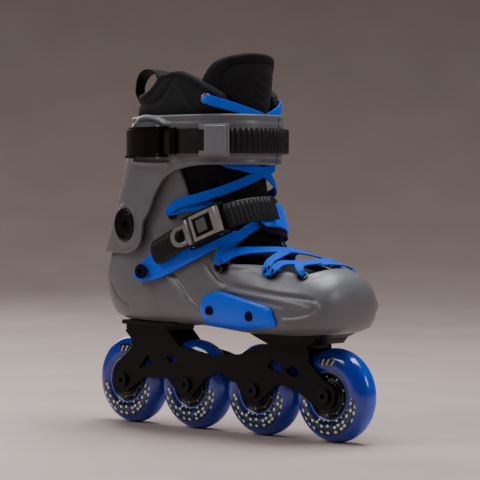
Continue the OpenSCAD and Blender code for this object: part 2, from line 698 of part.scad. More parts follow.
module frame_washer(x, z) {
    translate([x, 0, z]) difference() {
        translate([0, 0, -1.55]) cylinder(r = 8, h = 1.5);
        translate([0, 0, -3]) cylinder(r = 4.2, h = 5);
    }
}
module frame_washers() {
    color("silver") {
        frame_washer(bolt_rear_x, rear_top - 4);
        frame_washer(bolt_front_x, front_top - 3.5);
    }
}
module axle_bolts() {
    color("#3c3c40") for (x = axles) translate([x, 0, axle_z]) difference() {
        union() {
            pin_y(axle_d / 2, 0, 0, -rail_in - rail_t - 0.1, rail_in + rail_t);
            pin_y(6.5, 0, 0, -rail_in - rail_t - 2.6, -rail_in - rail_t - 0.05);
        }
        translate([0, -rail_in - rail_t - 3, 0]) rotate([-90, 0, 0])
            cylinder(r = 2.4, h = 4, $fn = 6);
    }
}
module bearing_spacers() {
    color("silver") for (x = axles) translate([x, 0, axle_z]) difference() {
        pin_y(5.4, 0, 0, -bearing_in, bearing_in);
        pin_y(bearing_bore / 2 + 0.1, 0, 0, -8, 8);
    }
}
module bearing_inner_rings() {
    color("silver") for (x = axles) translate([x, 0, axle_z]) both_sides() difference() {
        pin_y(5.7, 0, 0, -12.1, -bearing_in - 0.02);
        pin_y(bearing_bore / 2, 0, 0, -14, -2);
    }
}

// ---- Wheels ----
function tyre_y(r) = wheel_w / 2 * pow(max(0, 1 - pow((r - 26) / (wheel_d / 2 - 26), 2.2)), 0.4545);
module tyre(x) {
    color("#1f4fb4") translate([x, 0, axle_z]) rotate([90, 0, 0]) rotate_extrude($fn = 96)
        polygon(concat(
            [[hub_r, -10.5], [22, -11.4], [26, -12]],
            [for (k = [1:8]) [26 + (wheel_d / 2 - 26) * sin(k * 11.25),
                -tyre_y(26 + (wheel_d / 2 - 26) * sin(k * 11.25))]],
            [for (k = [7:-1:1]) [26 + (wheel_d / 2 - 26) * sin(k * 11.25),
                tyre_y(26 + (wheel_d / 2 - 26) * sin(k * 11.25))]],
            [[26, 12], [22, 11.4], [hub_r, 10.5]]));
}
module hub(x) {
    color("#111113") translate([x, 0, axle_z]) difference() {
        union() {
            pin_y(hub_r - 0.02, 0, 0, -10.5, 10.5);
            pin_y(13.4, 0, 0, -12, 12);
        }
        pin_y(bearing_d / 2 + 0.02, 0, 0, -20, -bearing_in);
        pin_y(bearing_d / 2 + 0.02, 0, 0, bearing_in, 20);
        pin_y(9.6, 0, 0, -8, 8);
        both_sides() difference() {
            pin_y(18, 0, 0, -11, -9);
            pin_y(13.4, 0, 0, -12, -8);
        }
    }
}
module bearings(x) {
    color("#c9c9cc") translate([x, 0, axle_z]) both_sides() difference() {
        pin_y(bearing_d / 2, 0, 0, -12.1, -bearing_in);
        pin_y(9.4, 0, 0, -11.6, -bearing_in - 0.5);
        pin_y(6.1, 0, 0, -14, -2);
    }
}
module balls(x) {
    color("silver") translate([x, 0, axle_z]) both_sides() for (k = [0:6]) {
        rotate([0, k * 360 / 7, 0]) translate([7.55, -12.1 + bearing_w / 2, 0])
            sphere(r = 1.8, $fn = 24);
    }
}
module tyre_1() { tyre(axles[0]); }
module hub_1() { hub(axles[0]); }
module bearings_1() { bearings(axles[0]); }
module balls_1() { balls(axles[0]); }
module tyre_2() { tyre(axles[1]); }
module hub_2() { hub(axles[1]); }
module bearings_2() { bearings(axles[1]); }
module balls_2() { balls(axles[1]); }
module tyre_3() { tyre(axles[2]); }
module hub_3() { hub(axles[2]); }
module bearings_3() { bearings(axles[2]); }
module balls_3() { balls(axles[2]); }
module tyre_4() { tyre(axles[3]); }
module hub_4() { hub(axles[3]); }
module bearings_4() { bearings(axles[3]); }
module balls_4() { balls(axles[3]); }

boot_shell();
heel_mount_block();
toe_mount_block();
mount_inserts();
insole();
liner();
tongue();
pull_loop();
liner_grommets();
lace();
lace_eyelets();
lace_hooks();
slider_lateral();
slider_medial();
slider_screws();
strap_lateral();
strap_medial();
strap_pad();
strap_screws();
ankle_ladder();
ankle_buckle_base();
ankle_buckle_pins();
ankle_buckle_lever();
ankle_buckle_insert();
ankle_buckle_release();
hinge_bolts();
hinge_nuts();
cuff();
hinge_caps();
cuff_ladder();
cuff_ladder_rivet();
cuff_guide_loop();
cuff_buckle_base();
cuff_buckle_rivets();
cuff_buckle_pin();
cuff_buckle_lever();
wheel_frame();
frame_bolts();
frame_washers();
axle_bolts();
bearing_spacers();
bearing_inner_rings();
tyre_1();
hub_1();
bearings_1();
balls_1();
tyre_2();
hub_2();
bearings_2();
balls_2();
tyre_3();
hub_3();
bearings_3();
balls_3();
tyre_4();
hub_4();
bearings_4();
balls_4();
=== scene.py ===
"""Looks of the inline skate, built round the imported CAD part. Tables are in millimetres."""
import math

import bpy
import numpy as np
from mathutils import Matrix, Vector
from mathutils.kdtree import KDTree


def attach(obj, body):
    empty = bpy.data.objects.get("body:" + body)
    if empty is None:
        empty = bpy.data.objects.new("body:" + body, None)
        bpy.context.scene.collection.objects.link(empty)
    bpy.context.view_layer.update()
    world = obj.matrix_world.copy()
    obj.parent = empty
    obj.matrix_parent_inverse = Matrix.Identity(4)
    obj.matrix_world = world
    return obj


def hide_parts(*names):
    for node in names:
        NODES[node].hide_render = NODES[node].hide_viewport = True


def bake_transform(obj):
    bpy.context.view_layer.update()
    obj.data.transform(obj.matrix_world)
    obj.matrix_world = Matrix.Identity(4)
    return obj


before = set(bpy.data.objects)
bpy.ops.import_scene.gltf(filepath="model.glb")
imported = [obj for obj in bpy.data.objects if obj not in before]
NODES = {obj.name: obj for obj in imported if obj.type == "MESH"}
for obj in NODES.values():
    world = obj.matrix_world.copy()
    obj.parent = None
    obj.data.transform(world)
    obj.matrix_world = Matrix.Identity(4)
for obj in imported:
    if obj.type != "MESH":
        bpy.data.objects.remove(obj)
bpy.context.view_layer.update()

MM = 0.001

# ---- camera, floor and light
CAMERA_AT = Vector((1.20882, -1.30485, 0.20014))
CAMERA_AIM = Vector((0, 0, 0.17016))


def add_object(name, data):
    obj = bpy.data.objects.new(name, data)
    bpy.context.collection.objects.link(obj)
    return obj


view = bpy.data.cameras.new("camera")
view.lens = 150.35
view.sensor_width = 36
view.shift_x = 0.0182
camera = add_object("camera", view)
camera.location = CAMERA_AT
camera.rotation_euler = (CAMERA_AIM - CAMERA_AT).to_track_quat("-Z", "Y").to_euler()
bpy.context.scene.camera = camera


def softbox(name, at, aim, size, power, colour=(1, 1, 1)):
    lamp = bpy.data.lights.new(name, "AREA")
    lamp.shape = "RECTANGLE"
    lamp.size, lamp.size_y = size
    lamp.energy = power
    lamp.color = colour
    obj = add_object(name, lamp)
    obj.location = at
    obj.rotation_euler = (Vector(aim) - Vector(at)).to_track_quat("-Z", "Y").to_euler()


softbox("top_light", (0.1, 0.25, 1.6), (0, 0, 0.15), (1.2, 0.9), 36)
softbox("key_light", (-0.75, -1.2, 1.3), (0, 0, 0.16), (0.9, 0.9), 14, (1, 0.98, 0.96))
softbox("side_light", (1.45, 0.25, 0.8), (0, 0, 0.1), (0.3, 0.5), 4)
softbox("rim_light", (-1.3, 0.6, 0.9), (0, 0, 0.2), (0.5, 1.1), 6)
world = bpy.data.worlds.new("studio")
world.use_nodes = True
sky = world.node_tree.nodes["Background"].inputs
sky["Color"].default_value = (0.62, 0.6, 0.6, 1)
sky["Strength"].default_value = 0.17
bpy.context.scene.world = world


# ---- materials
class Nodes:
    """A material's node tree, with short ways to add and join nodes."""

    def __init__(self, name):
        self.material = bpy.data.materials.new(name)
        self.material.use_nodes = True
        self.tree = self.material.node_tree
        self.shader = self.tree.nodes["Principled BSDF"]

    def add(self, kind, links=(), **values):
        node = self.tree.nodes.new("ShaderNode" + kind)
        for key, value in values.items():
            if hasattr(node, key):
                setattr(node, key, value)
            else:
                node.inputs[key.replace("_", " ")].default_value = value
        for socket, source in dict(links).items():
            self.tree.links.new(source, node.inputs[socket])
        return node

    def math(self, operation, a, b=None, c=None):
        node = self.add("Math", operation=operation)
        for k, value in enumerate((a, b, c)):
            if value is None:
                continue
            if isinstance(value, (int, float)):
                node.inputs[k].default_value = value
            else:
                self.tree.links.new(value, node.inputs[k])
        return node.outputs[0]

    def coords(self, kind="Object"):
        return self.add("TexCoord").outputs[kind]

    def noise(self, vector, **values):
        return self.add("TexNoise", {"Vector": vector}, **values).outputs["Fac"]

    def mul(self, a, b):
        return self.math("MULTIPLY", a, b)

    def plus(self, a, b):
        return self.math("ADD", a, b)

    def less(self, a, b):
        return self.math("LESS_THAN", a, b)

    def off(self, a, b):
        """How far a is from b, either way."""
        return self.math("ABSOLUTE", self.math("SUBTRACT", a, b))

    def hypot(self, a, b):
        return self.math("SQRT", self.plus(self.mul(a, a), self.mul(b, b)))

    def mix(self, factor, a, b):
        node = self.add("Mix", data_type="RGBA")
        for socket, value in ((0, factor), (6, a), (7, b)):
            if isinstance(value, (tuple, float, int)):
                node.inputs[socket].default_value = value
            else:
                self.tree.links.new(value, node.inputs[socket])
        return node.outputs[2]

    def ramp(self, source, *stops):
        node = self.add("ValToRGB", {"Fac": source})
        bar = node.color_ramp.elements
        while len(bar) < len(stops):
            bar.new(0.5)
        for item, (place, colour) in zip(bar, stops):
            item.position = place
            item.color = colour
        return node.outputs["Color"]

    def spread(self, source, low, high, to_low, to_high):
        node = self.add("MapRange", {"Value": source}, From_Min=low, From_Max=high,
                        To_Min=to_low, To_Max=to_high)
        return node.outputs["Result"]

    def set(self, **values):
        for key, value in values.items():
            self.shader.inputs[key.replace("_", " ")].default_value = value

    def link(self, socket, source):
        self.tree.links.new(source, self.shader.inputs[socket])

    def bump(self, height, strength, distance):
        node = self.add("Bump", {"Height": height}, Strength=strength, Distance=distance)
        self.link("Normal", node.outputs["Normal"])


def rgb(red, green, blue, gain=1.0):
    """A display colour, 0 to 255, as a linear colour."""
    return tuple(min(1, ((c / 255) ** 2.2) * gain) for c in (red, green, blue)) + (1,)


def shade(colour, gain):
    return tuple(min(1, c * gain) for c in colour[:3]) + (1,)


def moulded(name, colour, rough, metal=0.0, grain=2600, bump=0.12, wear=0.35, coat=0.0,
            cloud=0.14, shine=0.5, detail=None):
    """A solid finish: soft colour clouds, fine grain, uneven gloss and paler worn edges."""
    m = Nodes(name)
    place = m.coords()
    smear = m.noise(place, Scale=160.0, Detail=6.0, Roughness=0.65)
    base = m.ramp(m.noise(place, Scale=38.0, Detail=4.0), (0.3, shade(colour, 1 - cloud)),
                  (0.7, shade(colour, 1 + cloud)))
    edge = m.add("NewGeometry").outputs["Pointiness"]
    worn = m.mul(m.spread(edge, 0.515, 0.6, 0.0, wear),
                 m.spread(smear, 0.35, 0.7, 0.3, 1.0))
    base = m.mix(worn, base, shade(colour, 2.2 if metal < 0.5 else 1.5))
    m.link("Base Color", detail(m, base) if detail else base)
    m.link("Roughness", m.spread(smear, 0.3, 0.75, rough - 0.06, rough + 0.09))
    m.bump(m.noise(place, Scale=float(grain), Detail=2.0), bump, 0.0002)
    m.set(Metallic=metal, Coat_Weight=coat, Coat_Roughness=0.12, Specular_IOR_Level=shine)
    return m.material


def knit(name, colour, pitch, bump=0.5, sheen=0.4, rough=0.85, spots=0.25):
    """A woven or knitted cloth; pitch is the thread spacing in metres."""
    m = Nodes(name)
    place = m.coords()
    turned = m.add("Mapping", {"Vector": place}, Rotation=(0.6, 0.35, 0.75)).outputs[0]
    weave = m.mul(*(m.add("TexWave", {"Vector": turned}, bands_direction=way, Scale=0.314 / pitch,
                          Distortion=0.6, Detail=1.0).outputs["Fac"] for way in "XZ"))
    cells = m.add("TexVoronoi", {"Vector": place}, Scale=0.55 / pitch)
    height = m.plus(weave, m.mul(cells.outputs["Distance"], 0.8))
    tone = m.ramp(m.noise(place, Scale=45.0, Detail=5.0), (0.3, shade(colour, 1 - spots)),
                  (0.72, shade(colour, 1 + spots)))
    # painted shade: the colour darkens in the low hollows of the weave
    m.link("Base Color", m.mix(m.spread(height, 0.0, 1.2, 0.55, 0.0), tone, shade(colour, 0.35)))
    m.link("Roughness", m.spread(weave, 0.0, 1.0, rough - 0.06, rough + 0.08))
    m.bump(height, bump, 0.0004)
    m.set(Sheen_Weight=sheen, Sheen_Roughness=0.45, Sheen_Tint=shade(colour, 6),
          Specular_IOR_Level=0.25)
    return m.material


def tape_cloth(name, colour, pitch, sheen=0.25, rib=0.0):
    """A flat woven tape. The UV map holds millimetres across and along."""
    m = Nodes(name)
    uv = m.add("SeparateXYZ", {"Vector": m.coords("UV")})
    across, along = uv.outputs["X"], uv.outputs["Y"]
    slope = m.off(m.math("PINGPONG", across, pitch * 2), pitch)
    braid = m.math("SINE", m.mul(m.plus(along, slope), 2 * math.pi / pitch))
    cross = m.math("SINE", m.mul(across, 2 * math.pi / (pitch * 0.9)))
    cloth = m.mul(m.plus(braid, m.mul(cross, 0.6 + rib)), 0.5)
    height = m.plus(cloth, m.mul(m.noise(m.coords(), Scale=900.0, Detail=4.0), 0.7))
    # painted light on the braid: painted shade darkens its hollows and a painted highlight makes its
    # raised threads paler
    braid_painted_light = m.mix(m.spread(height, -0.6, 1.2, 0.0, 1.0), shade(colour, 0.28), shade(colour, 1.35))
    m.link("Base Color", braid_painted_light)
    m.link("Roughness", m.spread(cloth, -1.0, 1.0, 0.62, 0.8))
    m.bump(height, 0.55, 0.0004)
    m.set(Sheen_Weight=sheen, Sheen_Roughness=0.4, Sheen_Tint=shade(colour, 2),
          Specular_IOR_Level=0.2)
    return m.material


PRINT_R, BADGE_R, HIGHLIGHT_RING_R, HUB_DOTS_R = 27.6, 29.0, 20.7, 16.4  # radii of the wheel's print, of a painted highlight ring on the tyre near the hub, and of the hub's dots
HUB_DOTS = 9


def wheel_plastic(name):
    """Cast polyurethane with a speckled crescent and a badge of printed dashes.

    The UV map holds millimetres from the wheel's centre."""
    m = Nodes(name)
    uv = m.coords("UV")
    part = m.add("SeparateXYZ", {"Vector": uv})
    x, z = part.outputs["X"], part.outputs["Y"]
    radius = m.hypot(x, z)
    turn = m.math("ARCTAN2", z, x)
    body = m.ramp(m.math("DIVIDE", radius, 40.0), (0.5, rgb(4, 30, 120)), (0.72, rgb(6, 56, 178)),
                  (0.93, rgb(4, 48, 165)), (1.0, rgb(8, 72, 205)))
    cloud = m.noise(uv, Scale=0.12, Detail=3.0)
    body = m.mix(m.spread(cloud, 0.35, 0.7, 0.0, 0.35), body, rgb(3, 26, 110))
    # the crescent: pale dots in dark blots, thick at the bottom and thin at its ends
    low = m.math("DIVIDE", z, m.math("MAXIMUM", radius, 1.0))
    reach = m.math("MAXIMUM", m.math("SUBTRACT", 0.02, low), 0.0)
    width = m.mul(m.math("POWER", reach, 0.5), 6.3)
    inside = m.math("GREATER_THAN", width, m.off(radius, PRINT_R))
    grid = m.add("CombineXYZ", {"X": m.mul(turn, 4.3), "Y": m.math("DIVIDE", radius, 5.0)}).outputs[0]
    cell = m.add("TexVoronoi", {"Vector": grid}, voronoi_dimensions="2D", Scale=1.0, Randomness=0.55)
    blot = m.plus(cell.outputs["Distance"], m.mul(m.noise(uv, Scale=0.75, Detail=2.0), 1.1))
    black = m.mul(m.less(blot, 1.2), inside)
    white = m.mul(m.less(cell.outputs["Distance"], 0.25), inside)
    # a dark badge at the top with slanted dashes
    badge = m.mul(m.less(m.off(turn, 1.6), 0.27), m.less(m.off(radius, BADGE_R), 4.2))
    slant = m.plus(m.mul(turn, 34.0), m.mul(radius, 0.6))
    rows = m.math("GREATER_THAN", m.math("PINGPONG", m.math("SUBTRACT", radius, 25.0), 4.0), 1.4)
    dash = m.mul(m.math("GREATER_THAN", m.math("SINE", slant), 0.0), rows)
    # a thin painted highlight ring round the tyre just outside the hub
    painted_ring_highlight = m.less(m.off(radius, HIGHLIGHT_RING_R), 0.35)
    colour = m.mix(m.mul(painted_ring_highlight, 0.6), body, rgb(150, 175, 215))
    colour = m.mix(m.math("MAXIMUM", black, badge), colour, rgb(8, 10, 18))
    colour = m.mix(m.mul(white, 0.95), colour, rgb(200, 222, 240))
    colour = m.mix(m.mul(m.mul(dash, badge), 0.7), colour, rgb(170, 190, 215))
    m.link("Base Color", colour)
    scuff = m.noise(uv, Scale=0.9, Detail=5.0)
    gloss = m.spread(scuff, 0.3, 0.8, 0.07, 0.17)
    m.link("Roughness", m.plus(gloss, m.spread(radius, 36.0, 40.0, 0.0, 0.12)))
    m.bump(scuff, 0.05, 0.0003)
    m.set(Coat_Weight=0.6, Coat_Roughness=0.06, Subsurface_Weight=0.12, Subsurface_Scale=0.004)
    return m.material


def speckled_hub(name):
    """Glossy black hub with small bright dots round it. The UV map is as for the tyre."""
    def dots(m, base):
        part = m.add("SeparateXYZ", {"Vector": m.coords("UV")})
        x, z = part.outputs["X"], part.outputs["Y"]
        turn = m.mul(m.math("ARCTAN2", z, x), HUB_DOTS / (2 * math.pi))
        cell = m.mul(m.math("SUBTRACT", m.math("FRACT", m.plus(turn, 9.0)), 0.5), 11.5)
        near = m.hypot(cell, m.math("SUBTRACT", m.hypot(x, z), HUB_DOTS_R))
        return m.mix(m.mul(m.less(near, 0.75), 0.9), base, rgb(205, 208, 215))
    return moulded(name, rgb(16, 16, 18), 0.26, wear=0.2, shine=0.45, detail=dots)


GREY = rgb(99, 101, 106)
BLUE = rgb(0, 88, 238)
MATERIALS = {
    "shell": moulded("shell_plastic", GREY, 0.38, grain=3200, bump=0.1, wear=0.4, cloud=0.05),
    "cuff": moulded("cuff_plastic", GREY, 0.36, grain=3200, bump=0.1, wear=0.4, cloud=0.05),
    "black": moulded("black_plastic", rgb(13, 13, 14), 0.5, wear=0.4, shine=0.25),
    "ladder": moulded("ladder_plastic", rgb(15, 15, 16), 0.48, wear=0.4, shine=0.35),
    "gloss": moulded("gloss_plastic", rgb(5, 5, 6), 0.14, grain=1200, bump=0.03, wear=0.15, shine=0.4),
    "blue": moulded("blue_plastic", BLUE, 0.36, wear=0.3, cloud=0.07, shine=0.4),
    "loop": moulded("loop_plastic", rgb(112, 116, 122), 0.34, wear=0.4, cloud=0.06),
    "frame": moulded("frame_metal", rgb(4, 4, 5), 0.42, grain=4200, bump=0.14, wear=2.5, shine=0.22),
    "black_steel": moulded("black_steel", rgb(34, 34, 37), 0.3, metal=0.8, wear=0.5),
    "steel": moulded("bright_steel", rgb(190, 192, 196), 0.24, metal=1.0, grain=1800, bump=0.05),
    "gold": moulded("bearing_steel", rgb(206, 186, 150), 0.3, metal=0.9, grain=1800, bump=0.05),
    "buckle": moulded("buckle_metal", rgb(140, 138, 138), 0.34, metal=0.6, grain=2400, wear=0.5),
    "insert": knit("buckle_insert", rgb(92, 92, 94), 0.0011, bump=0.7, sheen=0.1, rough=0.6),
    "footbed": knit("footbed_cloth", rgb(52, 52, 58), 0.0012),
    "liner": knit("liner_cloth", rgb(26, 26, 28), 0.0009, bump=0.3, sheen=0.25, spots=0.12),
    "tongue": knit("tongue_cloth", rgb(29, 29, 31), 0.0009, bump=0.3, sheen=0.25, spots=0.12),
    "mesh": knit("tongue_mesh", rgb(20, 20, 22), 0.0022, bump=0.9, sheen=0.15),
    "lace": tape_cloth("lace_cloth", rgb(0, 86, 236), 1.3, sheen=0.15),
    "webbing": tape_cloth("webbing_cloth", rgb(12, 12, 13), 1.6, sheen=0.1, rib=0.5),
    "tyre": wheel_plastic("tyre_plastic"),
    "hub": speckled_hub("hub_plastic"),
}

# ---- geometry helpers


def spline(rows, n):
    """Rows joined by a smooth curve, n steps from each to the next."""
    rows = np.asarray(rows, float)
    last = len(rows) - 1
    out = []
    for i in range(last):
        a, b = rows[max(i - 1, 0)], rows[i]
        c, d = rows[i + 1], rows[min(i + 2, last)]
        for k in range(n):
            t = k / n
            out.append(0.5 * (2 * b + (c - a) * t + (2 * a - 5 * b + 4 * c - d) * t * t
                              + (3 * b - a - 3 * c + d) * t ** 3))
    return np.array(out + [rows[last]])


def unit(v):
    v = np.asarray(v, float)
    return v / np.maximum(np.linalg.norm(v, axis=-1, keepdims=True), 1e-9)


def xyz(x, y, z):
    """Points or directions from their three parts, each one number or an array."""
    return np.stack(np.broadcast_arrays(x, y, z), -1)


def lengths(path):
    """How far along a path each of its points is."""
    return np.concatenate([[0], np.cumsum(np.linalg.norm(np.diff(path, axis=0), axis=1))])


def inset(row, d, db):
    """A section moved inwards by d, and by db at its lower point."""
    u = unit([row[0] - row[2], row[1] - row[3]])
    f = d if row[0] > 128 else 0
    return np.array([row[0] - u[0] * d - f, row[1] - u[1] * d, row[2] + u[0] * db - f,
                     row[3] + u[1] * db, row[4] - d, row[5] - d, row[6], row[7], row[8]])


def at(row, angle):
    """Points of a section: 0 inside, 90 upper, 180 outside, 270 lower."""
    a = np.radians(np.asarray(angle, float))
    c, s = np.cos(a), np.sin(a)
    up = s >= 0
    n = np.where(up, row[7], row[8])
    w = np.where(c >= 0, row[5], row[4])
    top, low = np.array(row[0:2]), np.array(row[2:4])
    mid = low + (top - low) * row[6]
    t = np.abs(s) ** (2 / n)
    p = mid + np.where(up[..., None], top - mid, low - mid) * t[..., None]
    return xyz(p[..., 0], w * np.sign(c) * np.abs(c) ** (2 / n), p[..., 1])


def ring(row, n):
    return at(row, np.arange(n) * 360 / n)


def make(name, points, faces, material, smooth=True):
    """A mesh object from points in millimetres."""
    mesh = bpy.data.meshes.new(name)
    mesh.from_pydata((np.asarray(points, float).reshape(-1, 3) * MM).tolist(), [], faces)
    mesh.update()
    obj = add_object(name, mesh)
    if material:
        mesh.materials.append(MATERIALS[material])
    mesh.polygons.foreach_set("use_smooth", [smooth] * len(mesh.polygons))
    return obj


def loft(name, rings, material=None, closed=False, smooth=True):
    """A skin through equal rings, capped at both ends unless it is closed on itself."""
    rings = np.asarray(rings, float)
    m, n = rings.shape[:2]
    faces = []
    for i in range(m if closed else m - 1):
        j = (i + 1) % m
        faces += [(i * n + k, i * n + (k + 1) % n, j * n + (k + 1) % n, j * n + k) for k in range(n)]
    if not closed:
        faces += [tuple(range(n))[::-1], tuple((m - 1) * n + k for k in range(n))]
    obj = make(name, rings, faces, material, smooth)
    mesh = obj.data
    volume = sum(np.dot(mesh.vertices[p.vertices[0]].co, np.cross(
        mesh.vertices[p.vertices[1]].co, mesh.vertices[p.vertices[2]].co)) for p in mesh.polygons)
    if volume < 0:
        mesh.flip_normals()
    return obj


def prism(name, outline, y0, y1):
    """An outline of x and z, from y0 to y1."""
    n = len(outline)
    pts = [[x, y, z] for y in (y0, y1) for x, z in outline]
    return loft(name, np.array(pts).reshape(2, n, 3))


def circle(n):
    return np.radians(np.arange(n) * 360 / n)


def drum(name, r, x, z, y0, y1, n=64):
    turn = circle(n)
    return loft(name, [xyz(x + r * np.cos(turn), y, z + r * np.sin(turn)) for y in sorted((y0, y1))])


def settle(obj):
    """Applies the modifiers."""
    graph = bpy.context.evaluated_depsgraph_get()
    graph.update()
    mesh = bpy.data.meshes.new_from_object(obj.evaluated_get(graph))
    obj.modifiers.clear()
    old, obj.data = obj.data, mesh
    mesh.name = obj.name
    bpy.data.meshes.remove(old)
    return obj


def cut(obj, other, how="DIFFERENCE"):
    mod = obj.modifiers.new("cut", "BOOLEAN")
    mod.operation, mod.object, mod.solver = how, other, "MANIFOLD"
    settle(obj)
    bpy.data.objects.remove(other)
    return obj


def join(obj, other):
    return cut(obj, other, "UNION")


def paint(obj, material):
    obj.data.materials.clear()
    obj.data.materials.append(MATERIALS[material])


def map_uv(obj, values):
    """Gives each point its UV."""
    index = np.empty(len(obj.data.loops), int)
    obj.data.loops.foreach_get("vertex_index", index)
    obj.data.uv_layers.new(name="UVMap").data.foreach_set("uv", values[index].ravel())


def soften(obj, voxel, rounds, factor=0.5):
    """Even mesh of that voxel size in millimetres, with its edges rounded."""
    mod = obj.modifiers.new("even", "REMESH")
    mod.mode, mod.voxel_size, mod.use_smooth_shade = "VOXEL", voxel * MM, True
    if rounds:
        ease = obj.modifiers.new("ease", "SMOOTH")
        ease.factor, ease.iterations = factor, rounds
    settle(obj)
    obj.data.materials.clear()
    obj.data.polygons.foreach_set("use_smooth", [True] * len(obj.data.polygons))
    return obj


def points_of(obj):
    co = np.empty(len(obj.data.vertices) * 3)
    obj.data.vertices.foreach_get("co", co)
    return co.reshape(-1, 3) / MM


def normals_of(obj):
    out = np.empty(len(obj.data.vertices) * 3)
    obj.data.vertices.foreach_get("normal", out)
    return out.reshape(-1, 3)


def move(obj, points):
    obj.data.vertices.foreach_set("co", (np.asarray(points) * MM).ravel())
    obj.data.update()


def raise_by(obj, height):
    """Moves each point along its normal by height(points, normals), in millimetres."""
    p, n = points_of(obj), normals_of(obj)
    move(obj, p + n * height(p, n)[:, None])


CLOTH_FRAMES, HELD_BAND, JOIN_BAND = 20, 5, 3  # bands in millimetres above the base


def swell(obj, base, voxel, pressure, cap):
    """Swells the padding above a height by a short cloth simulation of a coarser copy."""
    soft = add_object("soft", obj.data.copy())
    box = [[-200, -90], [200, -90], [200, 90], [-200, 90]]
    cut(soft, loft("below", [[[x, y, z] for x, y in box] for z in (0, base)]))
    even = soft.modifiers.new("even", "REMESH")
    even.mode, even.voxel_size = "VOXEL", voxel * MM
    start = points_of(settle(soft))
    held = soft.vertex_groups.new(name="held")
    held.add(np.flatnonzero(start[:, 2] < base + HELD_BAND).tolist(), 1.0, "REPLACE")
    cloth = soft.modifiers.new("cloth", "CLOTH")
    cloth.settings.vertex_group_mass = "held"
    cloth.settings.mass = 0.05
    cloth.settings.use_pressure = True
    cloth.settings.uniform_pressure_force = pressure
    cloth.settings.effector_weights.gravity = 0
    for number in range(1, CLOTH_FRAMES + 1):
        bpy.context.scene.frame_set(number)
    shift = points_of(settle(soft)) - start
    size = np.linalg.norm(shift, axis=1)
    shift *= (np.minimum(size, cap) / np.maximum(size, 1e-9))[:, None]
    bpy.context.scene.frame_set(1)
    bpy.data.objects.remove(soft)
    tree = KDTree(len(start))
    for k, place in enumerate(start):
        tree.insert(place, k)
    tree.balance()
    p = points_of(obj)
    for k in np.flatnonzero(p[:, 2] > base + JOIN_BAND):
        near = tree.find_n(p[k], 4)
        pull = np.array([1 / (d * d + 0.5) for _, _, d in near])
        p[k] += (shift[[i for _, i, _ in near]] * pull[:, None]).sum(0) / pull.sum()
    move(obj, p)


def gap(flat, line, steps=6):
    """Distance of each 2-D point from a smooth line, and how far along the nearest place is."""
    line = spline(line, steps)
    best = np.full(len(flat), 1e9)
    along = np.zeros(len(flat))
    for k in range(len(line) - 1):
        a, b = line[k], line[k + 1]
        ab = b - a
        t = np.clip(((flat - a) @ ab) / max(ab @ ab, 1e-9), 0, 1)
        d = np.linalg.norm(flat - (a + t[:, None] * ab), axis=1)
        near = d < best
        best = np.where(near, d, best)
        along = np.where(near, (k + t) / (len(line) - 1), along)
    return best, along


def bell(d, width):
    return np.exp(-(d / width) ** 2)


def fade(along, share=0.15):
    """0 at both ends of a line, 1 away from them."""
    return np.clip(np.minimum(along, 1 - along) / share, 0, 1)


def step(x, low, high):
    t = np.clip((x - low) / (high - low), 0, 1)
    return t * t * (3 - 2 * t)


def finish_piece(obj, body, slot, *nodes):
    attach(obj, body)
    if nodes:
        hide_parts(*nodes)
    return obj


WELD_WITHIN = 0.00001


def bevelled(obj, width, segments=2, angle=32):
    """Rounded edges on a carried-over part or a new piece."""
    weld = obj.modifiers.new("weld", "WELD")
    weld.merge_threshold = WELD_WITHIN
    mod = obj.modifiers.new("bevel", "BEVEL")
    mod.width, mod.segments, mod.limit_method = width * MM, segments, "ANGLE"
    mod.angle_limit = math.radians(angle)
    mod.harden_normals = True
    return obj


def dress(node, material, width=0.0, segments=2, angle=32):
    """Gives a carried-over CAD node its material and rounded edges."""
    obj = NODES[node]
    for item in obj.material_slots:
        item.link = "OBJECT"
        item.material = MATERIALS[material]
    if width:
        bevelled(obj, width, segments, angle)
    return obj


def ribbon(name, path, face, half, thick, material, ends=(0, 0), profile=None):
    """A flat tape along a path, with UVs in millimetres.

    face is the outward direction at each point, half the half width (one, or one a point),
    thick its thickness above the path, and ends how far each tip is rounded."""
    path = np.asarray(path, float)
    m = len(path)
    run = unit(np.gradient(path, axis=0))
    face = np.broadcast_to(np.asarray(face, float), path.shape)
    across = unit(np.cross(run, face))
    face = unit(np.cross(across, run))
    length = lengths(path)
    half = np.broadcast_to(np.asarray(half, float), (m,)).copy()
    for from_end, tip in ((length, ends[0]), (length[-1] - length, ends[1])):
        if tip:
            short = np.clip(from_end / tip, 0, 1)
            half *= 0.12 + 0.88 * np.sqrt(1 - (1 - short) ** 2)
    if profile is None:
        profile = [(-1, 0.25), (-0.97, 0.02), (-0.9, 0), (0.9, 0), (0.97, 0.02), (1, 0.25), (1, 0.7),
                   (0.96, 0.95), (0.88, 1), (0.5, 1.0), (0, 1.0), (-0.5, 1.0), (-0.88, 1),
                   (-0.96, 0.95), (-1, 0.7)]
    thick = np.broadcast_to(np.asarray(thick, float), (m,))
    side = np.array([q[0] for q in profile])
    high = np.array([q[1] for q in profile])
    pts = (path[:, None] + across[:, None] * (half[:, None] * side)[..., None]
           + face[:, None] * (thick[:, None] * high)[..., None])
    obj = loft(name, pts, material)
    n = len(profile)
    map_uv(obj, np.stack([np.tile(side, m) * np.repeat(half, n), np.repeat(length, n)], -1))
    return obj


def copy_of(node, name):
    """A copy of a CAD part with its points joined, to be cut or softened."""
    obj = add_object(name, NODES[node].data.copy())
    obj.data.materials.clear()
    obj.modifiers.new("weld", "WELD").merge_threshold = WELD_WITHIN
    return settle(obj)


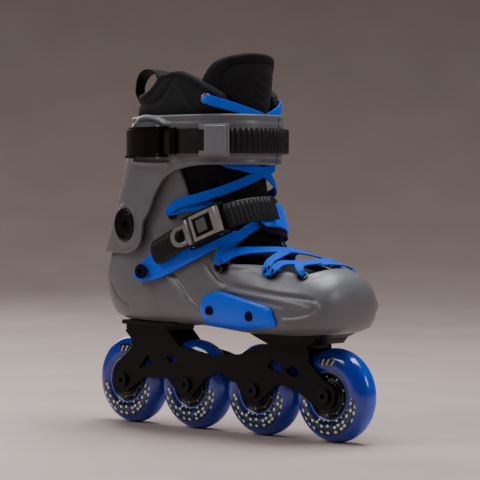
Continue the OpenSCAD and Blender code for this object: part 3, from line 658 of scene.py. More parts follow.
# ---- the boot's own sections
FOOT = [[145.5, 122, 145.5, 112, 8, 8, .5, 2, 2], [144, 131, 144, 103, 22, 20, .5, 2, 2],
        [139, 139, 139, 96, 34, 32, .47, 2.1, 2.6], [130, 145, 130, 92.5, 42, 41, .42, 2.1, 3.2],
        [116, 149.5, 115, 91, 47, 47, .4, 2.1, 3.8], [97, 153, 96, 90, 50, 51, .4, 2.1, 4],
        [76, 160, 73, 90, 51, 52.5, .4, 2.1, 4], [62, 167, 46, 90, 49, 50, .41, 2.1, 4],
        [54, 175, 18, 92, 46, 46, .42, 2.2, 4], [47, 184, -12, 94, 43, 42, .44, 2.2, 3.8],
        [42, 194, -50, 95, 40.5, 40, .46, 2.2, 3.5], [39.5, 204, -95, 95, 39, 38.5, .48, 2.2, 3.2],
        [38.5, 214, -127, 98, 38.5, 38.5, .5, 2.2, 2.8], [38, 224, -142, 112, 39, 39, .5, 2.2, 2.4],
        [38, 234, -145.5, 132, 40, 40, .5, 2.3, 2.3], [38, 244, -141, 150, 41, 41, .5, 2.3, 2.2],
        [38.5, 254, -130, 172, 43, 43, .5, 2.3, 2.2], [39, 265, -120, 200, 46, 46, .5, 2.3, 2.2],
        [39.5, 277, -111, 232, 49, 49, .5, 2.3, 2.3]]
SHIN = [[40, 290, -101, 262, 51, 51, .5, 2.3, 2.3], [41, 306, -98, 288, 48, 48, .5, 2.3, 2.3],
        [42, 326, -97, 312, 43, 43, .5, 2.3, 2.3]]
LEG = [[38, 158, -146, 158, 46, 46, .5, 2.3, 2.3], [38, 185, -134.5, 185, 48, 48, .5, 2.3, 2.3],
       [40, 210, -123, 210, 50.5, 50.5, .5, 2.3, 2.3], [42, 235, -113.5, 235, 53, 53, .5, 2.3, 2.3],
       [44, 257, -107, 257, 54, 54, .5, 2.3, 2.3], [44, 280, -102, 280, 54, 54, .5, 2.3, 2.3]]
THROAT = [[125, 149], [111, 142], [97, 144], [77, 148], [63, 150], [36, 151], [27, 159], [17, 163],
          [7, 171], [-5, 184], [-15, 204], [-20, 226], [-25, 236], [-40, 234], [-60, 214],
          [-86, 203], [-103, 196], [-112, 188], [-126, 183], [-170, 183]]
HINGE = (-87.5, 184)
BOSS_R, BORE_R, PAD_R, DISH_R, DISH_X = 10.6, 5.0, 11, 12.4, -90.0
RING_R, RING_X = 17.2, -90.6  # the raised ring round the hinge
LEG_X = -31.5  # the middle of the cuff
SLIT_TURN = 22
SHELL_WALL, CUFF_WALL, LINER_GAP, LINER_WALL = 3.5, 3.2, 0.9, 5.0

# ---- hard boot
RIDGES = [  # x and z of each crease on the boot's sides, its height and its half width
    ([[6, 150], [7, 147], [14, 141], [22, 136], [30, 131], [36, 129]], 1.0, 1.6),
    ([[7, 154], [14, 147], [24, 139], [36, 135], [50, 132], [74, 129], [98, 126], [122, 124],
      [132, 121]], -1.7, 1.5),
    ([[36, 128.5], [52, 127], [74, 124.5], [98, 121.5], [120, 117], [131, 112]], 1.4, 2.4),
    ([[131, 121], [134, 116], [132, 111], [124, 107], [112, 105], [98, 105]], 1.2, 1.7),
    ([[24, 127], [50, 124.5], [84, 120], [108, 115.5]], -0.8, 2.4),
    ([[-38, 143], [-31, 138], [-24, 132], [-12, 121], [-4, 115], [2, 110]], -1.2, 1.7),
    ([[-42, 140], [-33, 133], [-25, 127], [-16, 118]], 1.1, 1.8),
    ([[-127, 133], [-121, 125], [-115, 119], [-105, 113.5], [-94, 110]], -1.0, 1.7),
    ([[-63, 178], [-61, 173], [-58, 167], [-52, 162]], -0.9, 1.3)]


def body_loft(name, rows, steps, n):
    return loft(name, [ring(r, n) for r in spline(rows, steps)])


shell = body_loft("boot_shell_skin", FOOT, 5, 120)
hollow = body_loft("hollow", [inset(r, SHELL_WALL, SHELL_WALL + 1) for r in FOOT[1:]], 5, 120)
cut(shell, hollow)
for side in (-1, 1):
    join(shell, drum("boss", BOSS_R, *HINGE, side * 40.9, side * 36.2))
cut(shell, prism("throat", list(spline(THROAT, 4)) + [[-170, 330], [125, 330]], -80, 80))
for side in (-1, 1):
    cut(shell, drum("bore", BORE_R, *HINGE, side * 50, side * 30))
soften(shell, 0.95, 5)


def shell_relief(p, n):
    flat = p[:, [0, 2]]
    outer = n[:, 1] * np.sign(p[:, 1]) + np.clip(n[:, 2], 0, 1) * 0.6 + np.clip(n[:, 0], 0, 1) * 0.4
    facing = np.clip(outer * 2.0, 0, 1) * step(np.abs(p[:, 1]), 17, 30)
    total = np.zeros(len(p))
    for line, high, wide in RIDGES:
        d, along = gap(flat, line)
        total += 1.35 * high * bell(d, wide) * fade(along, 0.12)
    sole = bell(p[:, 2] - 97, 3.0) * 0.5 * (np.abs(n[:, 2]) < 0.8)
    d, _ = gap(flat, THROAT[:-1])
    lip = 0.45 * bell(d - 1.6, 1.5) - 0.3 * bell(d - 5.5, 1.6)
    return (total + sole + lip * (p[:, 2] < 178)) * facing


raise_by(shell, shell_relief)
paint(shell, "shell")
finish_piece(shell, "boot", "shell_grey", "boot_shell")

# ---- cuff
CUFF_SIDE = [[-170, 156], [-99, 156], [-88, 157.5], [-77, 160.5], [-69, 167], [-65.5, 177], [-63, 187],
             [-55, 196], [-45, 212], [-31, 226], [-13, 233], [12, 236], [60, 236]]
HOOD = [[-81, 258], [-78, 267], [-70.6, 274], [-58.3, 278], [-43, 276.8], [-31, 273.5], [-24, 269.5]]
LEDGE = [[-80, 240.5], [-60, 239], [-40, 238], [-24, 238]]
cuff = body_loft("cuff_shell", LEG, 6, 144)
inner_rows = [inset(r, CUFF_WALL, CUFF_WALL) for r in LEG]
inner_rows[0][[1, 3]] -= 5
inner_rows[-1][[1, 3]] += 3
cut(cuff, body_loft("hollow", inner_rows, 6, 144))
keep = prism("keep", list(spline(CUFF_SIDE, 4)) + [[60, 290], [-170, 290]], -90, 90)
cut(cuff, keep, "INTERSECT")
for side in (-1, 1):
    join(cuff, drum("pad", PAD_R, *HINGE, side * 44.6, side * 41.2))
for side in (-1, 1):
    cut(cuff, drum("bore", 8, *HINGE, side * 60, side * 30))
    cut(cuff, drum("room", 10.8, *HINGE, side * 41.15, side * 30))
    cut(cuff, drum("socket", 9.4, *HINGE, side * 60, side * 44.65))
slit = prism("slit", [[0, 200], [80, 200], [80, 300], [0, 300]], -1.2, 1.2)
slit.data.transform(Matrix.Rotation(math.radians(SLIT_TURN), 4, "Z"))
cut(cuff, slit)
soften(cuff, 0.85, 5)


def cuff_relief(p, n):
    flat = p[:, [0, 2]]
    around = p[:, :2] - [LEG_X, 0]
    out = (n[:, :2] * unit(around)).sum(1)
    facing = np.clip(out * 3, 0, 1)
    lateral = facing * (p[:, 1] < -30)
    total = 0.5 * bell(p[:, 2] - 278.6, 1.3) * facing - 0.45 * bell(p[:, 2] - 274.6, 1.4) * facing
    d, along = gap(flat, HOOD)
    total += 2.3 * bell(d, 2.4) * fade(along, 0.12) * lateral
    d, along = gap(flat, LEDGE)
    total += 1.9 * bell(d, 1.7) * fade(along, 0.1) * lateral
    d, _ = gap(flat, CUFF_SIDE[1:])
    total += (0.4 * bell(d - 1.6, 1.4) - 0.35 * bell(d - 5, 1.8)) * facing
    # a fine parting line at the back and under the buckle
    total -= 0.35 * bell(p[:, 0] + 36 - (p[:, 2] - 200) * 0.1, 0.6) * (p[:, 2] < 240) * lateral
    total -= 0.3 * bell(np.abs(p[:, 1]), 0.7) * (p[:, 0] < -60) * facing
    ring_gap = np.hypot(p[:, 0] - RING_X, p[:, 2] - HINGE[1])
    return total + 0.9 * bell(ring_gap - RING_R, 1.7) * facing * (np.abs(p[:, 1]) > 30)


raise_by(cuff, cuff_relief)
paint(cuff, "cuff")
finish_piece(cuff, "cuff_body", "shell_grey", "cuff")

# a black dish inside each hinge ring, round the bolt head
for side, name in ((-1, "hinge_dish_lateral"), (1, "hinge_dish_medial")):
    dish = drum(name, DISH_R, DISH_X, HINGE[1], side * 43.9, side * 45.2)
    cut(dish, drum("room", 9.5, *HINGE, side * 60, side * 30))
    paint(dish, "gloss")
    finish_piece(bevelled(dish, 0.3), "cuff_body", "gloss_black")


# ---- places on the cuff and strap
def cuff_row(z):
    rows = np.array(LEG)
    return np.array([np.interp(z, rows[:, 1], rows[:, k]) for k in range(9)])


def on_cuff(angle, z, lift):
    """Points and outward directions on the cuff at these angles."""
    row = cuff_row(z)
    a = np.radians(np.asarray(angle, float))
    h = (row[0] - row[2]) / 2
    s, c = np.sin(a), np.cos(a)
    n = unit(xyz(np.sign(s) * np.abs(s) ** 1.13 / h, np.sign(c) * np.abs(c) ** 1.13 / row[4], 0))
    return at(row, angle) + n * lift, n


def even_cuff(a0, a1, z, lift, pitch):
    """Points round the cuff at an even spacing in millimetres."""
    fine = np.linspace(a0, a1, 900)
    p, n = on_cuff(fine, z, lift)
    length = lengths(p)
    want = np.linspace(0, length[-1], int(length[-1] / pitch) + 1)
    angle = np.interp(want, length, fine)
    return *on_cuff(angle, z, lift), want, angle


def cuff_block(name, a0, a1, z0, z1, d0, d1, steps=24):
    rings = []
    for a in np.linspace(a0, a1, steps):
        (p,), (n,) = on_cuff([a], (z0 + z1) / 2, 0)
        rings.append([p + n * d + [0, 0, z - p[2]]
                      for d, z in ((d0, z0), (d1, z0), (d1, z1), (d0, z1))])
    return loft(name, rings)


def ladder(name, path, face, half, thick, first, last, pitch, tip, edge, height):
    """A toothed strap: rounded ribs from first to last along it, between two plain edges."""
    length = lengths(path)
    phase = ((length - first) / pitch) % 1.0
    rib = np.sqrt(np.clip(1 - (phase / 0.31 - 1.6) ** 2, 0, 1)) * ((length > first) & (length < last))
    inner = 1 - edge / half
    profile = [(-1, 0.2), (-0.97, 0), (0.97, 0), (1, 0.2), (1, 0.8), (0.98, 1.0), (inner, 1.0),
               (inner - 0.03, 2), (0.4, 2), (0, 2), (-0.4, 2), (0.03 - inner, 2), (-inner, 1.0),
               (-0.98, 1.0), (-1, 0.8)]
    obj = ribbon(name, path, face, half, thick, "ladder", (0, tip), profile)
    mesh_points = points_of(obj).reshape(len(path), len(profile), 3)
    run = unit(np.gradient(np.asarray(path, float), axis=0))
    out = unit(np.cross(unit(np.cross(run, np.broadcast_to(face, path.shape))), run))
    for k, (_, high) in enumerate(profile):
        if high == 2:
            mesh_points[:, k] += out * (height * rib - thick)[:, None]
    move(obj, mesh_points)
    return obj


points, face, want, angle = even_cuff(203, 8, 257, 1.95, 0.4)
CUFF_PITCH, ANKLE_PITCH = 4.8, 3.9  # of the straps' teeth
first_tooth, last_tooth = (float(np.interp(-a, -angle, want)) for a in (128, 14))
cuff_strap = ladder("cuff_ladder_strap", points, face, 11, 2.0, first_tooth, last_tooth,
                    CUFF_PITCH, 6, 0.5, 1.15)
finish_piece(cuff_strap, "cuff_body", "black_plastic", "cuff_ladder")

loop = cuff_block("cuff_guide", 150.5, 127.5, 243.3, 271.2, 0.8, 6.4)
join(loop, cuff_block("raised", 146.3, 131, 245, 269.6, 5.4, 7.8))
cut(loop, cuff_block("slot", 154, 124, 245.7, 268.5, 1.6, 5.2, 34))
for a0, a1 in ((156, 146.6), (130.8, 121)):
    cut(loop, cuff_block("notch", a0, a1, 248, 266.4, 0, 14))
soften(loop, 0.32, 6)
paint(loop, "loop")
finish_piece(loop, "cuff_body", "grey_plastic", "cuff_guide_loop")

# the dark keeper bar between the buckle and the plain part of the strap
bar = cuff_block("cuff_keeper", 172.5, 168, 245, 269, 4.1, 7.0, 8)
soften(bar, 0.3, 3)
paint(bar, "gloss")
finish_piece(bar, "cuff_body", "gloss_black")

outer = [[-28.9, -60.7], [-30.6, -62.7], [-40, -62.9], [-50, -62.2], [-66, -58.7], [-78, -53.2],
         [-84.8, -47]]
inner = [[-84.3, -45.6], [-76.5, -51], [-65, -55.8], [-50, -59.1], [-40, -59.4], [-30.6, -58.8],
         [-28.9, -60.7]]
curve = list(spline(outer, 6)) + list(spline(inner, 6))[:-1]
lever = loft("cuff_lever_shell", [[[x, y, z] for x, y in curve] for z in (245.8, 268)])
turn = circle(32)
cut(lever, loft("hole", [xyz(1.6 * np.cos(turn) - 31.5, 1.6 * np.sin(turn) - 60.7, z)
                         for z in (240, 275)]))
paint(lever, "gloss")
finish_piece(bevelled(lever, 1.0, 3, 40), "cuff_lever", "gloss_black", "cuff_buckle_lever")

# ---- ankle strap
TILT, STRAP_Z = math.radians(22), 172
STRAP_PATH = [[-86, -40.6], [-72.4, -40.8], [-60, -41], [-44, -41.2], [-26, -41.4], [-8, -41.4],
              [8, -40.5], [20, -37.5], [31, -31.5], [40, -23.5], [46.5, -13], [49.5, 0]]
STRAP_LINE = STRAP_PATH + [[x, -y] for x, y in STRAP_PATH[-2::-1]]
LADDER_PATH = [[-54, -45.6], [-42, -47.2], [-24, -49.2], [-4, -49.7], [6.9, -48], [17.8, -46.3],
               [28.6, -44.6], [39.5, -42.8], [47, -37], [53, -27], [56.5, -14], [58, 0]]


def from_strap(p):
    """A point of the sloping strap plane, in the skate's own frame."""
    p = np.asarray(p, float)
    c, s = math.cos(TILT), math.sin(TILT)
    return xyz(p[..., 0] * c - p[..., 2] * s, p[..., 1], p[..., 0] * s + p[..., 2] * c + STRAP_Z)


def strap_middle(rows, lift=0):
    """A strap's middle line and its outward directions; rows are x, y, lower and upper height."""
    run = unit(np.gradient(rows[:, :2], axis=0))
    out = xyz(run[:, 1], -run[:, 0], 0)
    centre = xyz(rows[:, 0], rows[:, 1], (rows[:, 2] + rows[:, 3]) / 2) + out * lift
    return centre, from_strap(out) - from_strap([0, 0, 0])


def strap(name, i0, i1, edges, lift, thick, material, ends, steps=14):
    """A strap along part of the strap's line; edges are its lower and upper height on the way."""
    rows = []
    for i in range(i0, i1 + 1):
        f = (i - i0) / (i1 - i0) * (len(edges) - 1)
        k = min(int(f), len(edges) - 2)
        e = np.array(edges[k]) + (np.array(edges[k + 1]) - edges[k]) * (f - k)
        rows.append([*STRAP_LINE[i], *e])
    rows = spline(rows, steps)
    centre, face = strap_middle(rows, lift)
    return ribbon(name, from_strap(centre), face, (rows[:, 3] - rows[:, 2]) / 2, thick, material, ends)


OUTER_EDGES = [[-9, 3], [-12, 6], [-15, 8], [-16, 11], [-16, 12], [-16, 12], [-16, 8], [-16, 0],
               [-16, -6], [-15, -8]]
INNER_EDGES = [[-9, 10], [-12, 12], [-12, 12], [-12, 12], [-13, 11], [-14, 10], [-14, 8], [-12, 6],
               [-9, 3]]
PAD_EDGES = [[-14, 15], [-18, 19], [-18, 19], [-14, 15]]
lateral_strap = strap("strap_outer", 0, 9, OUTER_EDGES, 0.1, 2.5, "blue", (9, 8))
finish_piece(lateral_strap, "boot", "blue_plastic", "strap_lateral")
medial_strap = strap("strap_inner", 10, 22, INNER_EDGES, 2.9, 2.6, "blue", (5, 9))
finish_piece(medial_strap, "boot", "blue_plastic", "strap_medial")
pad = strap("strap_cushion", 10, 15, PAD_EDGES, 0.2, 2.4, "liner", (7, 7))
finish_piece(pad, "boot", "liner_fabric", "strap_pad")

line = spline([[x, y, -5 - y * 0.03, 15 + y * 0.03] for x, y in LADDER_PATH], 60)
step_to = lengths(line[:, :2])
want = np.arange(0, step_to[-1], 0.35)
line = np.stack([np.interp(want, step_to, line[:, k]) for k in range(4)], -1)
centre, face = strap_middle(line)
centre, face = centre[::-1], face[::-1]
# thinner where the lever's nose swings past it, inside the buckle
dip = bell(centre[:, 0] - 34, 6) * (centre[:, 1] < -38)
ankle_strap = ladder("ankle_ladder_strap", from_strap(centre), face, 10.9, 2.0 - 0.9 * dip, 4,
                     want[-1] - 5, ANKLE_PITCH, 8, 1.5, 0.85 * (1 - dip))
finish_piece(ankle_strap, "boot", "black_plastic", "ankle_ladder")


BUCKLE_AT, BUCKLE_TURN = (17, -41.5, 4.5), 9


def on_buckle(name, x0, x1, y0, y1, z0, z1, material, width):
    """A plate set square to the ankle buckle."""
    c, k = math.cos(math.radians(BUCKLE_TURN)), math.sin(math.radians(BUCKLE_TURN))
    rings = []
    for x in (x0, x1):
        corners = np.array([[x, y0, z0], [x, y1, z0], [x, y1, z1], [x, y0, z1]], float)
        x_in, y_in, z_in = corners.T
        rings.append(from_strap(xyz(x_in * c - y_in * k, x_in * k + y_in * c, z_in) + BUCKLE_AT))
    obj = loft(name, rings, material, smooth=False)
    return bevelled(obj, width) if width else obj


frame_lever = copy_of("ankle_buckle_lever", "ankle_lever_frame")
cut(frame_lever, on_buckle("window", -7.6, 11.5, -18, -11.2, -8.4, 8.4, None, 0))
paint(frame_lever, "buckle")
finish_piece(bevelled(frame_lever, 0.6), "ankle_lever", "buckle_metal", "ankle_buckle_lever")
# a gloss black plate behind the lever's window, standing in as a painted shadow round the insert
window_shadow_plate = on_buckle("ankle_lever_shadow_plate", -7.5, 11.4, -12.9, -11.3, -8.3, 8.3, "gloss", 0)
finish_piece(window_shadow_plate, "ankle_lever", "gloss_black")
plate = on_buckle("ankle_lever_plate", -5, 5.5, -14.7, -12.6, -5.2, 6.4, "insert", 0.5)
finish_piece(plate, "ankle_lever", "grey_plastic", "ankle_buckle_insert")

# ---- liner
LINER_TOP = [[122, 150], [104, 139], [77, 143], [50, 146], [36, 149], [22, 166], [13, 186], [10, 210],
             [12, 250], [20, 275], [24, 286], [21, 297], [12, 304], [0, 311], [-12, 316], [-26, 320],
             [-42, 320], [-50, 315], [-56, 307], [-66, 301.5], [-80, 300], [-120, 299]]
SEAMS = [[[-98, 293], [-80, 291.5], [-62, 291], [-50, 292], [-41, 296.5], [-34, 305], [-29, 316]],
         [[-20, 306], [-8, 292], [0, 280], [3, 262]]]
liner_rows = [inset(r, SHELL_WALL + LINER_GAP, 8) for r in FOOT[1:]] + [inset(r, 1, 1) for r in SHIN]
space_rows = [inset(r, LINER_WALL, 4) for r in liner_rows[1:]]
space_rows[-1][[1, 3]] += 9
liner = body_loft("liner_padding", liner_rows, 3, 96)
cut(liner, body_loft("space", space_rows, 3, 96))
cut(liner, prism("above", list(spline(LINER_TOP, 3)) + [[-120, 350], [122, 350]], -70, 70))
soften(liner, 1.5, 7)
swell(liner, 276, 2.6, 6.0, 2.2)


def liner_relief(p, n):
    flat = p[:, [0, 2]]
    d, _ = gap(flat, LINER_TOP[8:], 3)
    collar = step(p[:, 2], 278, 290)
    total = collar * (1.3 * bell(d - 2.5, 3.0) - 0.5 * bell(d - 7, 1.3))
    out = np.clip((n[:, 0] * (p[:, 0] + 31) + n[:, 1] * p[:, 1]) / 45, 0, 1)
    near = np.full(len(p), 1e9)
    for seam in SEAMS:
        s, along = gap(flat, seam)
        near = np.minimum(near, s)
        total -= 0.9 * bell(s, 1.1) * out * collar * fade(along, 0.06)
    # padding swells between its seams
    total += collar * out * 0.8 * step(near, 0, 6)
    back = bell(np.abs(p[:, 1]), 1.0) * (p[:, 0] < -60) * collar
    return total - 0.7 * back


raise_by(liner, liner_relief)
paint(liner, "liner")
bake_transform(liner)
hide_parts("liner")

# ---- tongue
TONGUE = [[108, 141, 24, 6, 55], [88, 145, 26, 8, 62], [70, 151, 27, 9, 60], [56, 160, 27, 10, 52],
          [45, 174, 28, 12, 38], [37, 192, 29, 14, 24], [32.5, 214, 30, 17, 12], [32, 240, 32, 23, 4],
          [34, 268, 36, 30, 2], [37, 296, 39, 36, 4], [40, 316, 40, 38, 5], [41, 327, 38, 34, 6],
          [41, 332, 35, 29, 6]]
MESH_TOP = 262
TONGUE_EDGE = [[-33, 250], [-36.5, 268], [-39, 290], [-40, 307], [-37.5, 319], [-30, 330], [-14, 333.5],
               [0, 333], [14, 331], [27, 325], [36, 312], [39, 301], [39, 286], [36.5, 268], [33, 250]]


def tongue_ring(r, n):
    lean = math.radians(r[4])
    cx, cz = math.cos(lean), math.sin(lean)
    t = 6 + 3 * float(step(r[1], 285, 312))
    f = np.arange(n, -n - 1, -1) / n
    e = r[3] * f * f
    front = xyz(r[0] - e * cx, r[2] * f, r[1] - e * cz)
    f = np.arange(-n, n + 1) / n
    e = r[3] * f * f + t * np.sqrt(np.maximum(1 - f * f, 0.04))
    back = xyz(r[0] - e * cx, r[2] * f * 0.96, r[1] - e * cz)
    return np.concatenate([front, back])


tongue = loft("tongue_padding", [tongue_ring(r, 20) for r in spline(TONGUE, 6)])
soften(tongue, 1.1, 8)
swell(tongue, 272, 3.2, 6.0, 2.6)
p = points_of(tongue)
p[:, 2] -= step(p[:, 2], 292, 330) * (11 * (np.abs(p[:, 1]) / 38) ** 3.5 + 0.11 * p[:, 1])
move(tongue, p)


def tongue_relief(p, n):
    d, _ = gap(p[:, [1, 2]], TONGUE_EDGE)
    up = step(p[:, 2], 262, 280)
    total = up * (1.5 * bell(d - 2.6, 3.0) - 1.5 * bell(d - 7.4, 1.3))
    front = np.clip(n[:, 0] * 2, 0, 1)
    total += up * front * 0.8 * step(d, 9, 18)
    chevrons = np.zeros(len(p))
    for place in (288, 296, 304):
        chevrons += bell(p[:, 2] - place - np.abs(p[:, 1]) * 0.5, 1.3)
    total += 0.7 * chevrons * step(9 - np.abs(p[:, 1]), 0, 2) * front
    ribs = bell((p[:, 2] + p[:, 0] * 0.3) % 13 - 6.5, 1.3) * (p[:, 2] < MESH_TOP) * front
    return total - 0.6 * ribs


raise_by(tongue, tongue_relief)
tongue.data.materials.append(MATERIALS["tongue"])
tongue.data.materials.append(MATERIALS["mesh"])
heights = np.array([f.center[2] for f in tongue.data.polygons])
tongue.data.polygons.foreach_set("material_index", (heights < MESH_TOP * MM).astype(int).tolist())
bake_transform(tongue)
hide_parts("tongue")

# ---- laces
LACE = [  # x, y, z of one strand from the front eyelet up to the collar, then where it faces
    [112, -33.2, 141.8, 0.3, -0.5, 0.8], [109.5, -34.2, 145.5, 0.5, -0.5, 0.7],
    [103, -26, 149.8, 0.3, -0.3, 0.9], [96, 0, 151.2, 0.35, 0, 0.94],
    [90, 30, 152, 0.3, 0.4, 0.86], [88.4, 38, 149.6, 0.3, 0.7, 0.65],
    [87.2, 42.2, 146, 0.2, 0.85, 0.5], [83, 44.2, 143.6, -0.1, 0.9, 0.4],
    [78.6, 42.4, 146.6, -0.1, 0.85, 0.5], [77.8, 37.8, 150.4, 0.2, 0.7, 0.7],
    [75, 29, 155, 0.3, 0.4, 0.86], [66, 0, 161.2, 0.5, 0, 0.86],
    [50, -29, 161.4, 0.4, -0.45, 0.8], [38, -38.6, 159.4, 0.3, -0.8, 0.5],
    [33.4, -43.6, 155, 0.2, -0.95, 0.3], [29, -46.4, 150.8, 0, -1, 0.2],
    [24.8, -45.8, 153.6, -0.1, -1, 0.2], [26.8, -43.6, 158.6, 0.2, -0.95, 0.25],
    [30.6, -37.2, 165, 0.5, -0.8, 0.3], [33.6, -29, 172, 0.6, -0.6, 0.4],
    [38.6, -19, 180, 0.75, -0.4, 0.45], [41.8, 0, 187.5, 0.88, 0, 0.45],
    [34.6, 19, 191, 0.8, 0.5, 0.3], [25, 27, 194.6, 0.6, 0.75, 0.2],
    [15.2, 33, 198, 0.4, 0.9, 0.15], [5, 39.4, 200, 0.25, 0.96, 0.1],
    [-14, 42.6, 199.6, 0, 1, 0.05], [-29, 43.4, 196.2, 0, 1, 0],
    [-36.4, 42.6, 194.4, -0.1, 1, 0], [-30.5, 44.6, 198.6, 0, 1, 0.05],
    [-20, 44.4, 203, 0.05, 1, 0.1], [3, 42, 208, 0.3, 0.95, 0.1],
    [20, 34.6, 213.6, 0.6, 0.8, 0.1], [31.6, 18, 221.6, 0.9, 0.45, 0.15],
    [36.4, 0, 229.6, 1, 0, 0.1], [31.5, -19, 234.6, 0.9, -0.45, 0.1],
    [21.5, -33, 239, 0.6, -0.8, 0], [15.6, -38.6, 250, 0.35, -0.94, 0],
    [13, -41.6, 268, 0.3, -0.95, 0], [12.6, -42.2, 275, 0.3, -0.95, 0]]
PINCHES = [[110, 34, 144], [83, 44.2, 143.6], [29, 46.4, 150.8], [-36.4, 42.6, 194.4],
           [9.5, 43.2, 293.6]]
COLLAR_LACE = [
    [9.5, -43.2, 293.6, 0.5, -0.86, 0], [12.6, -46.6, 292.6, 0.5, -0.86, 0.1],
    [18, -44.4, 290.6, 0.6, -0.8, 0.1], [25, -36, 287.6, 0.75, -0.66, 0.1],
    [31.5, -25, 284, 0.85, -0.5, 0.1], [37, -11, 279.5, 0.95, -0.2, 0.1],
    [38.6, 0, 275.4, 1, 0, 0.1], [35, 13, 268, 0.9, 0.35, 0.1],
    [31.5, 20, 262, 0.85, 0.45, 0.1]]
for label, lace_line in (("lace", LACE), ("lace_top", COLLAR_LACE)):
    for side in (-1, 1):
        rows = np.array(lace_line, float)
        rows[:, [1, 4]] *= side
        rows[:, 0] += 0.7 * (side > 0)
        rows[:, 2] += side * 0.4
        path, way = np.hsplit(spline(rows, 10), 2)
        wobble = 0.12 * np.sin(np.arange(len(path)) * 0.37 + side)
        near = np.min([np.linalg.norm(np.abs(path) - np.abs(q), axis=1) for q in PINCHES], axis=0)
        half = 4.3 + 0.25 * np.sin(np.arange(len(path)) * 0.11) - 1.7 * bell(near, 6)
        piece = ribbon("%s_%s" % (label, "right" if side > 0 else "left"), path + way * wobble[:, None],
                       way, half, 1.3 + 0.5 * bell(near, 6), "lace")
        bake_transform(piece)
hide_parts("lace")

# ---- pull loop, footbed
PULL = [[-100.4, 281.6], [-102, 288], [-109, 297], [-114, 307], [-109.5, 319], [-98, 324], [-85, 320],
        [-80, 309], [-81.5, 301]]
pull = spline([[x, 0, z] for x, z in PULL], 10)
away = xyz(pull[:, 0] + 97, 0, pull[:, 2] - 303)
fold = np.interp(np.linspace(0, 1, len(pull)), (0, 0.2, 0.42, 0.6, 0.8, 1), (8, 6, 5.5, 9, 11, 11))
pull_loop = ribbon("pull_tab", pull, away, fold, 1.8, "webbing")
finish_piece(pull_loop, "cuff_body", "webbing", "pull_loop")

footbed = soften(copy_of("insole", "footbed"), 1.0, 4)
paint(footbed, "footbed")
finish_piece(footbed, "boot", "footbed", "insole")

# ---- side pads
PAD_SHAPE = [[4, 106], [5.5, 116], [11, 122.5], [22, 126], [34, 126.5], [60, 122], [86, 117],
             [92.5, 114], [95, 109], [96, 99.5], [75, 96.5], [53, 94.5], [30, 94.8], [11, 96], [5, 100]]
SEATS = [[19, 110, -47.9], [70, 107, -52.9], [19, 110, 47.9], [70, 107, 54.4]]
for node, low, high in (("slider_lateral", -70, -26), ("slider_medial", 26, 70)):
    slab = body_loft(node + "_pad", [inset(r, -3.4, -1.2) for r in FOOT[2:13]], 6, 160)
    cut(slab, prism("shape", spline(PAD_SHAPE + PAD_SHAPE[:1], 5)[:-1], low, high), "INTERSECT")
    cut(slab, body_loft("under", [inset(r, -0.1, -0.1) for r in FOOT[1:14]], 6, 160))
    for x, z, y in SEATS:
        if low < y < high:
            far = 12 * np.sign(y)
            cut(slab, drum("head", 4.4, x, z, y, y + far))
            cut(slab, drum("hole", 2.3, x, z, y - far, y + far))
    soften(slab, 0.55, 7)

    def pad_relief(p, n):
        d, _ = gap(p[:, [0, 2]], PAD_SHAPE + PAD_SHAPE[:1], 1)
        out = np.clip(n[:, 1] * np.sign(p[:, 1]) * 2, 0, 1)
        return out * (0.35 * step(d, 1, 8) - 0.7 * bell(d, 1.6))

    raise_by(slab, pad_relief)
    paint(slab, "blue")
    finish_piece(slab, "boot", "blue_plastic", node)


# ---- wheels
def lathe(name, profile, x, z, material, n=128):
    """A profile of radius and y turned about a wheel's axle, with UVs in millimetres."""
    turn = circle(n)
    out, side = np.asarray(profile, float).T
    rings = xyz(x + out * np.cos(turn)[:, None], side, z + out * np.sin(turn)[:, None])
    obj = loft(name, rings, material, closed=True)
    map_uv(obj, rings.reshape(-1, 3)[:, [0, 2]] - [x, z])
    return obj


WHEEL_R, AXLE_Z, WHEEL_PITCH = 40.0, 40.0, 81
ROUND_FROM = 26  # the radius where the tyre's side starts to curve
TYRE_HALF = 12
arc = np.radians(np.linspace(0, 90, 22))
side_r = ROUND_FROM + (WHEEL_R - ROUND_FROM) * np.sin(arc)
side_y = TYRE_HALF * np.maximum(0, 1 - np.sin(arc) ** 2.2) ** 0.4545
tyre_half = [(19.5, 0), (19.5, 10.2), (19.8, 10.6), (20.4, 10.9), (21.2, 11.1), (23, 11.6),
             (24.6, 11.9), *zip(side_r, side_y)]
tyre_profile = tyre_half + [(r, -y) for r, y in tyre_half[-2:0:-1]]
hub_half = [(9.6, 0), (9.6, 5.05), (11.02, 5.05), (11.02, 11.8), (11.3, 12), (12.9, 12),
            (13.3, 11.7), (13.5, 9.7), (13.9, 9.25), (17.4, 9.25), (17.9, 9.6), (18.1, 10.2),
            (18.5, 10.5), (19.1, 10.5), (19.47, 10.2), (19.48, 0)]
hub_profile = hub_half + [(r, -y) for r, y in hub_half[-2:0:-1]]
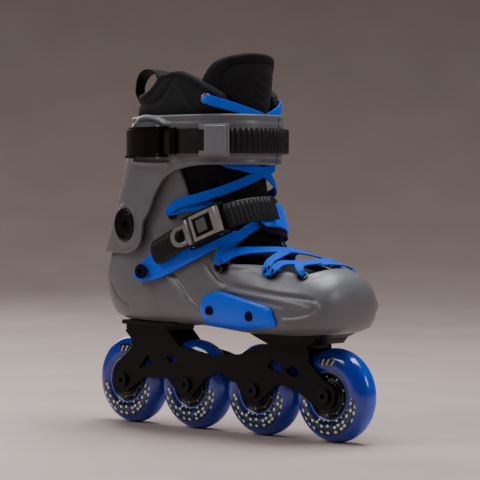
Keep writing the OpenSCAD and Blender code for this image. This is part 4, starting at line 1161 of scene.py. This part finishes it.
for k in range(4):
    x = (-1.5 + k) * WHEEL_PITCH
    body = "wheel_%d" % (k + 1)
    tyre = lathe("tyre_cast_%d" % (k + 1), tyre_profile, x, AXLE_Z, "tyre")
    finish_piece(tyre, body, "tyre", "tyre_%d" % (k + 1))
    hub = lathe("hub_core_%d" % (k + 1), hub_profile, x, AXLE_Z, "hub", 96)
    finish_piece(hub, body, "hub", "hub_%d" % (k + 1))
    dress("bearings_%d" % (k + 1), "gold", 0.25)
    dress("balls_%d" % (k + 1), "steel")

# ---- the other CAD parts
REST = {  # the parts of each material, and how wide their edges are rounded
    "black": {"heel_mount_block": 0.8, "toe_mount_block": 0.8, "ankle_buckle_base": 0.5},
    "steel": {"mount_inserts": 0.2, "liner_grommets": 0.35, "ankle_buckle_pins": 0.3, "hinge_nuts": 0.2,
        "cuff_buckle_pin": 0.3, "frame_bolts": 0.3, "frame_washers": 0.2, "bearing_spacers": 0.2,
        "bearing_inner_rings": 0.2},
    "gloss": {"lace_eyelets": 0.4, "lace_hooks": 0.3, "hinge_caps": 0.5, "cuff_buckle_base": 0.3},
    "black_steel": {"slider_screws": 0.3, "strap_screws": 0.5, "hinge_bolts": 0.5,
        "cuff_ladder_rivet": 0.3, "cuff_buckle_rivets": 0.2, "axle_bolts": 0.45},
    "buckle": {"ankle_buckle_release": 0.5},
    "frame": {"wheel_frame": 0.7}}
for material, widths in REST.items():
    for node, width in widths.items():
        dress(node, material, width)

# ---- studio
SPOKES = 96
turn = circle(SPOKES)
rows = []
for r in (0.002, 0.3, 0.6, 0.8, *np.linspace(1.0, 3.9, 30), 3.93, 3.94):
    rise = 0.02 * max(r - 0.6, 0) ** 2 + 1.9 * (max(r - 1.3, 0) / 2.6) ** 3.2
    rise += 1.2 * max(r - 3.92, 0) / 0.02
    rows.append(xyz(r * np.cos(turn), r * np.sin(turn), rise) / MM)
faces = [(i * SPOKES + (k + 1) % SPOKES, i * SPOKES + k, (i + 1) * SPOKES + k,
          (i + 1) * SPOKES + (k + 1) % SPOKES) for i in range(len(rows) - 1) for k in range(SPOKES)]
floor = make("studio_floor", rows, [tuple(range(SPOKES))] + faces, None)
paper = Nodes("studio_paper")
grain = paper.noise(paper.coords(), Scale=7.0, Detail=5.0)
paper.link("Base Color", paper.ramp(grain, (0.3, rgb(176, 159, 154)), (0.7, rgb(182, 165, 160))))
paper.link("Roughness", paper.spread(grain, 0.3, 0.7, 0.5, 0.62))
floor.data.materials.append(paper.material)
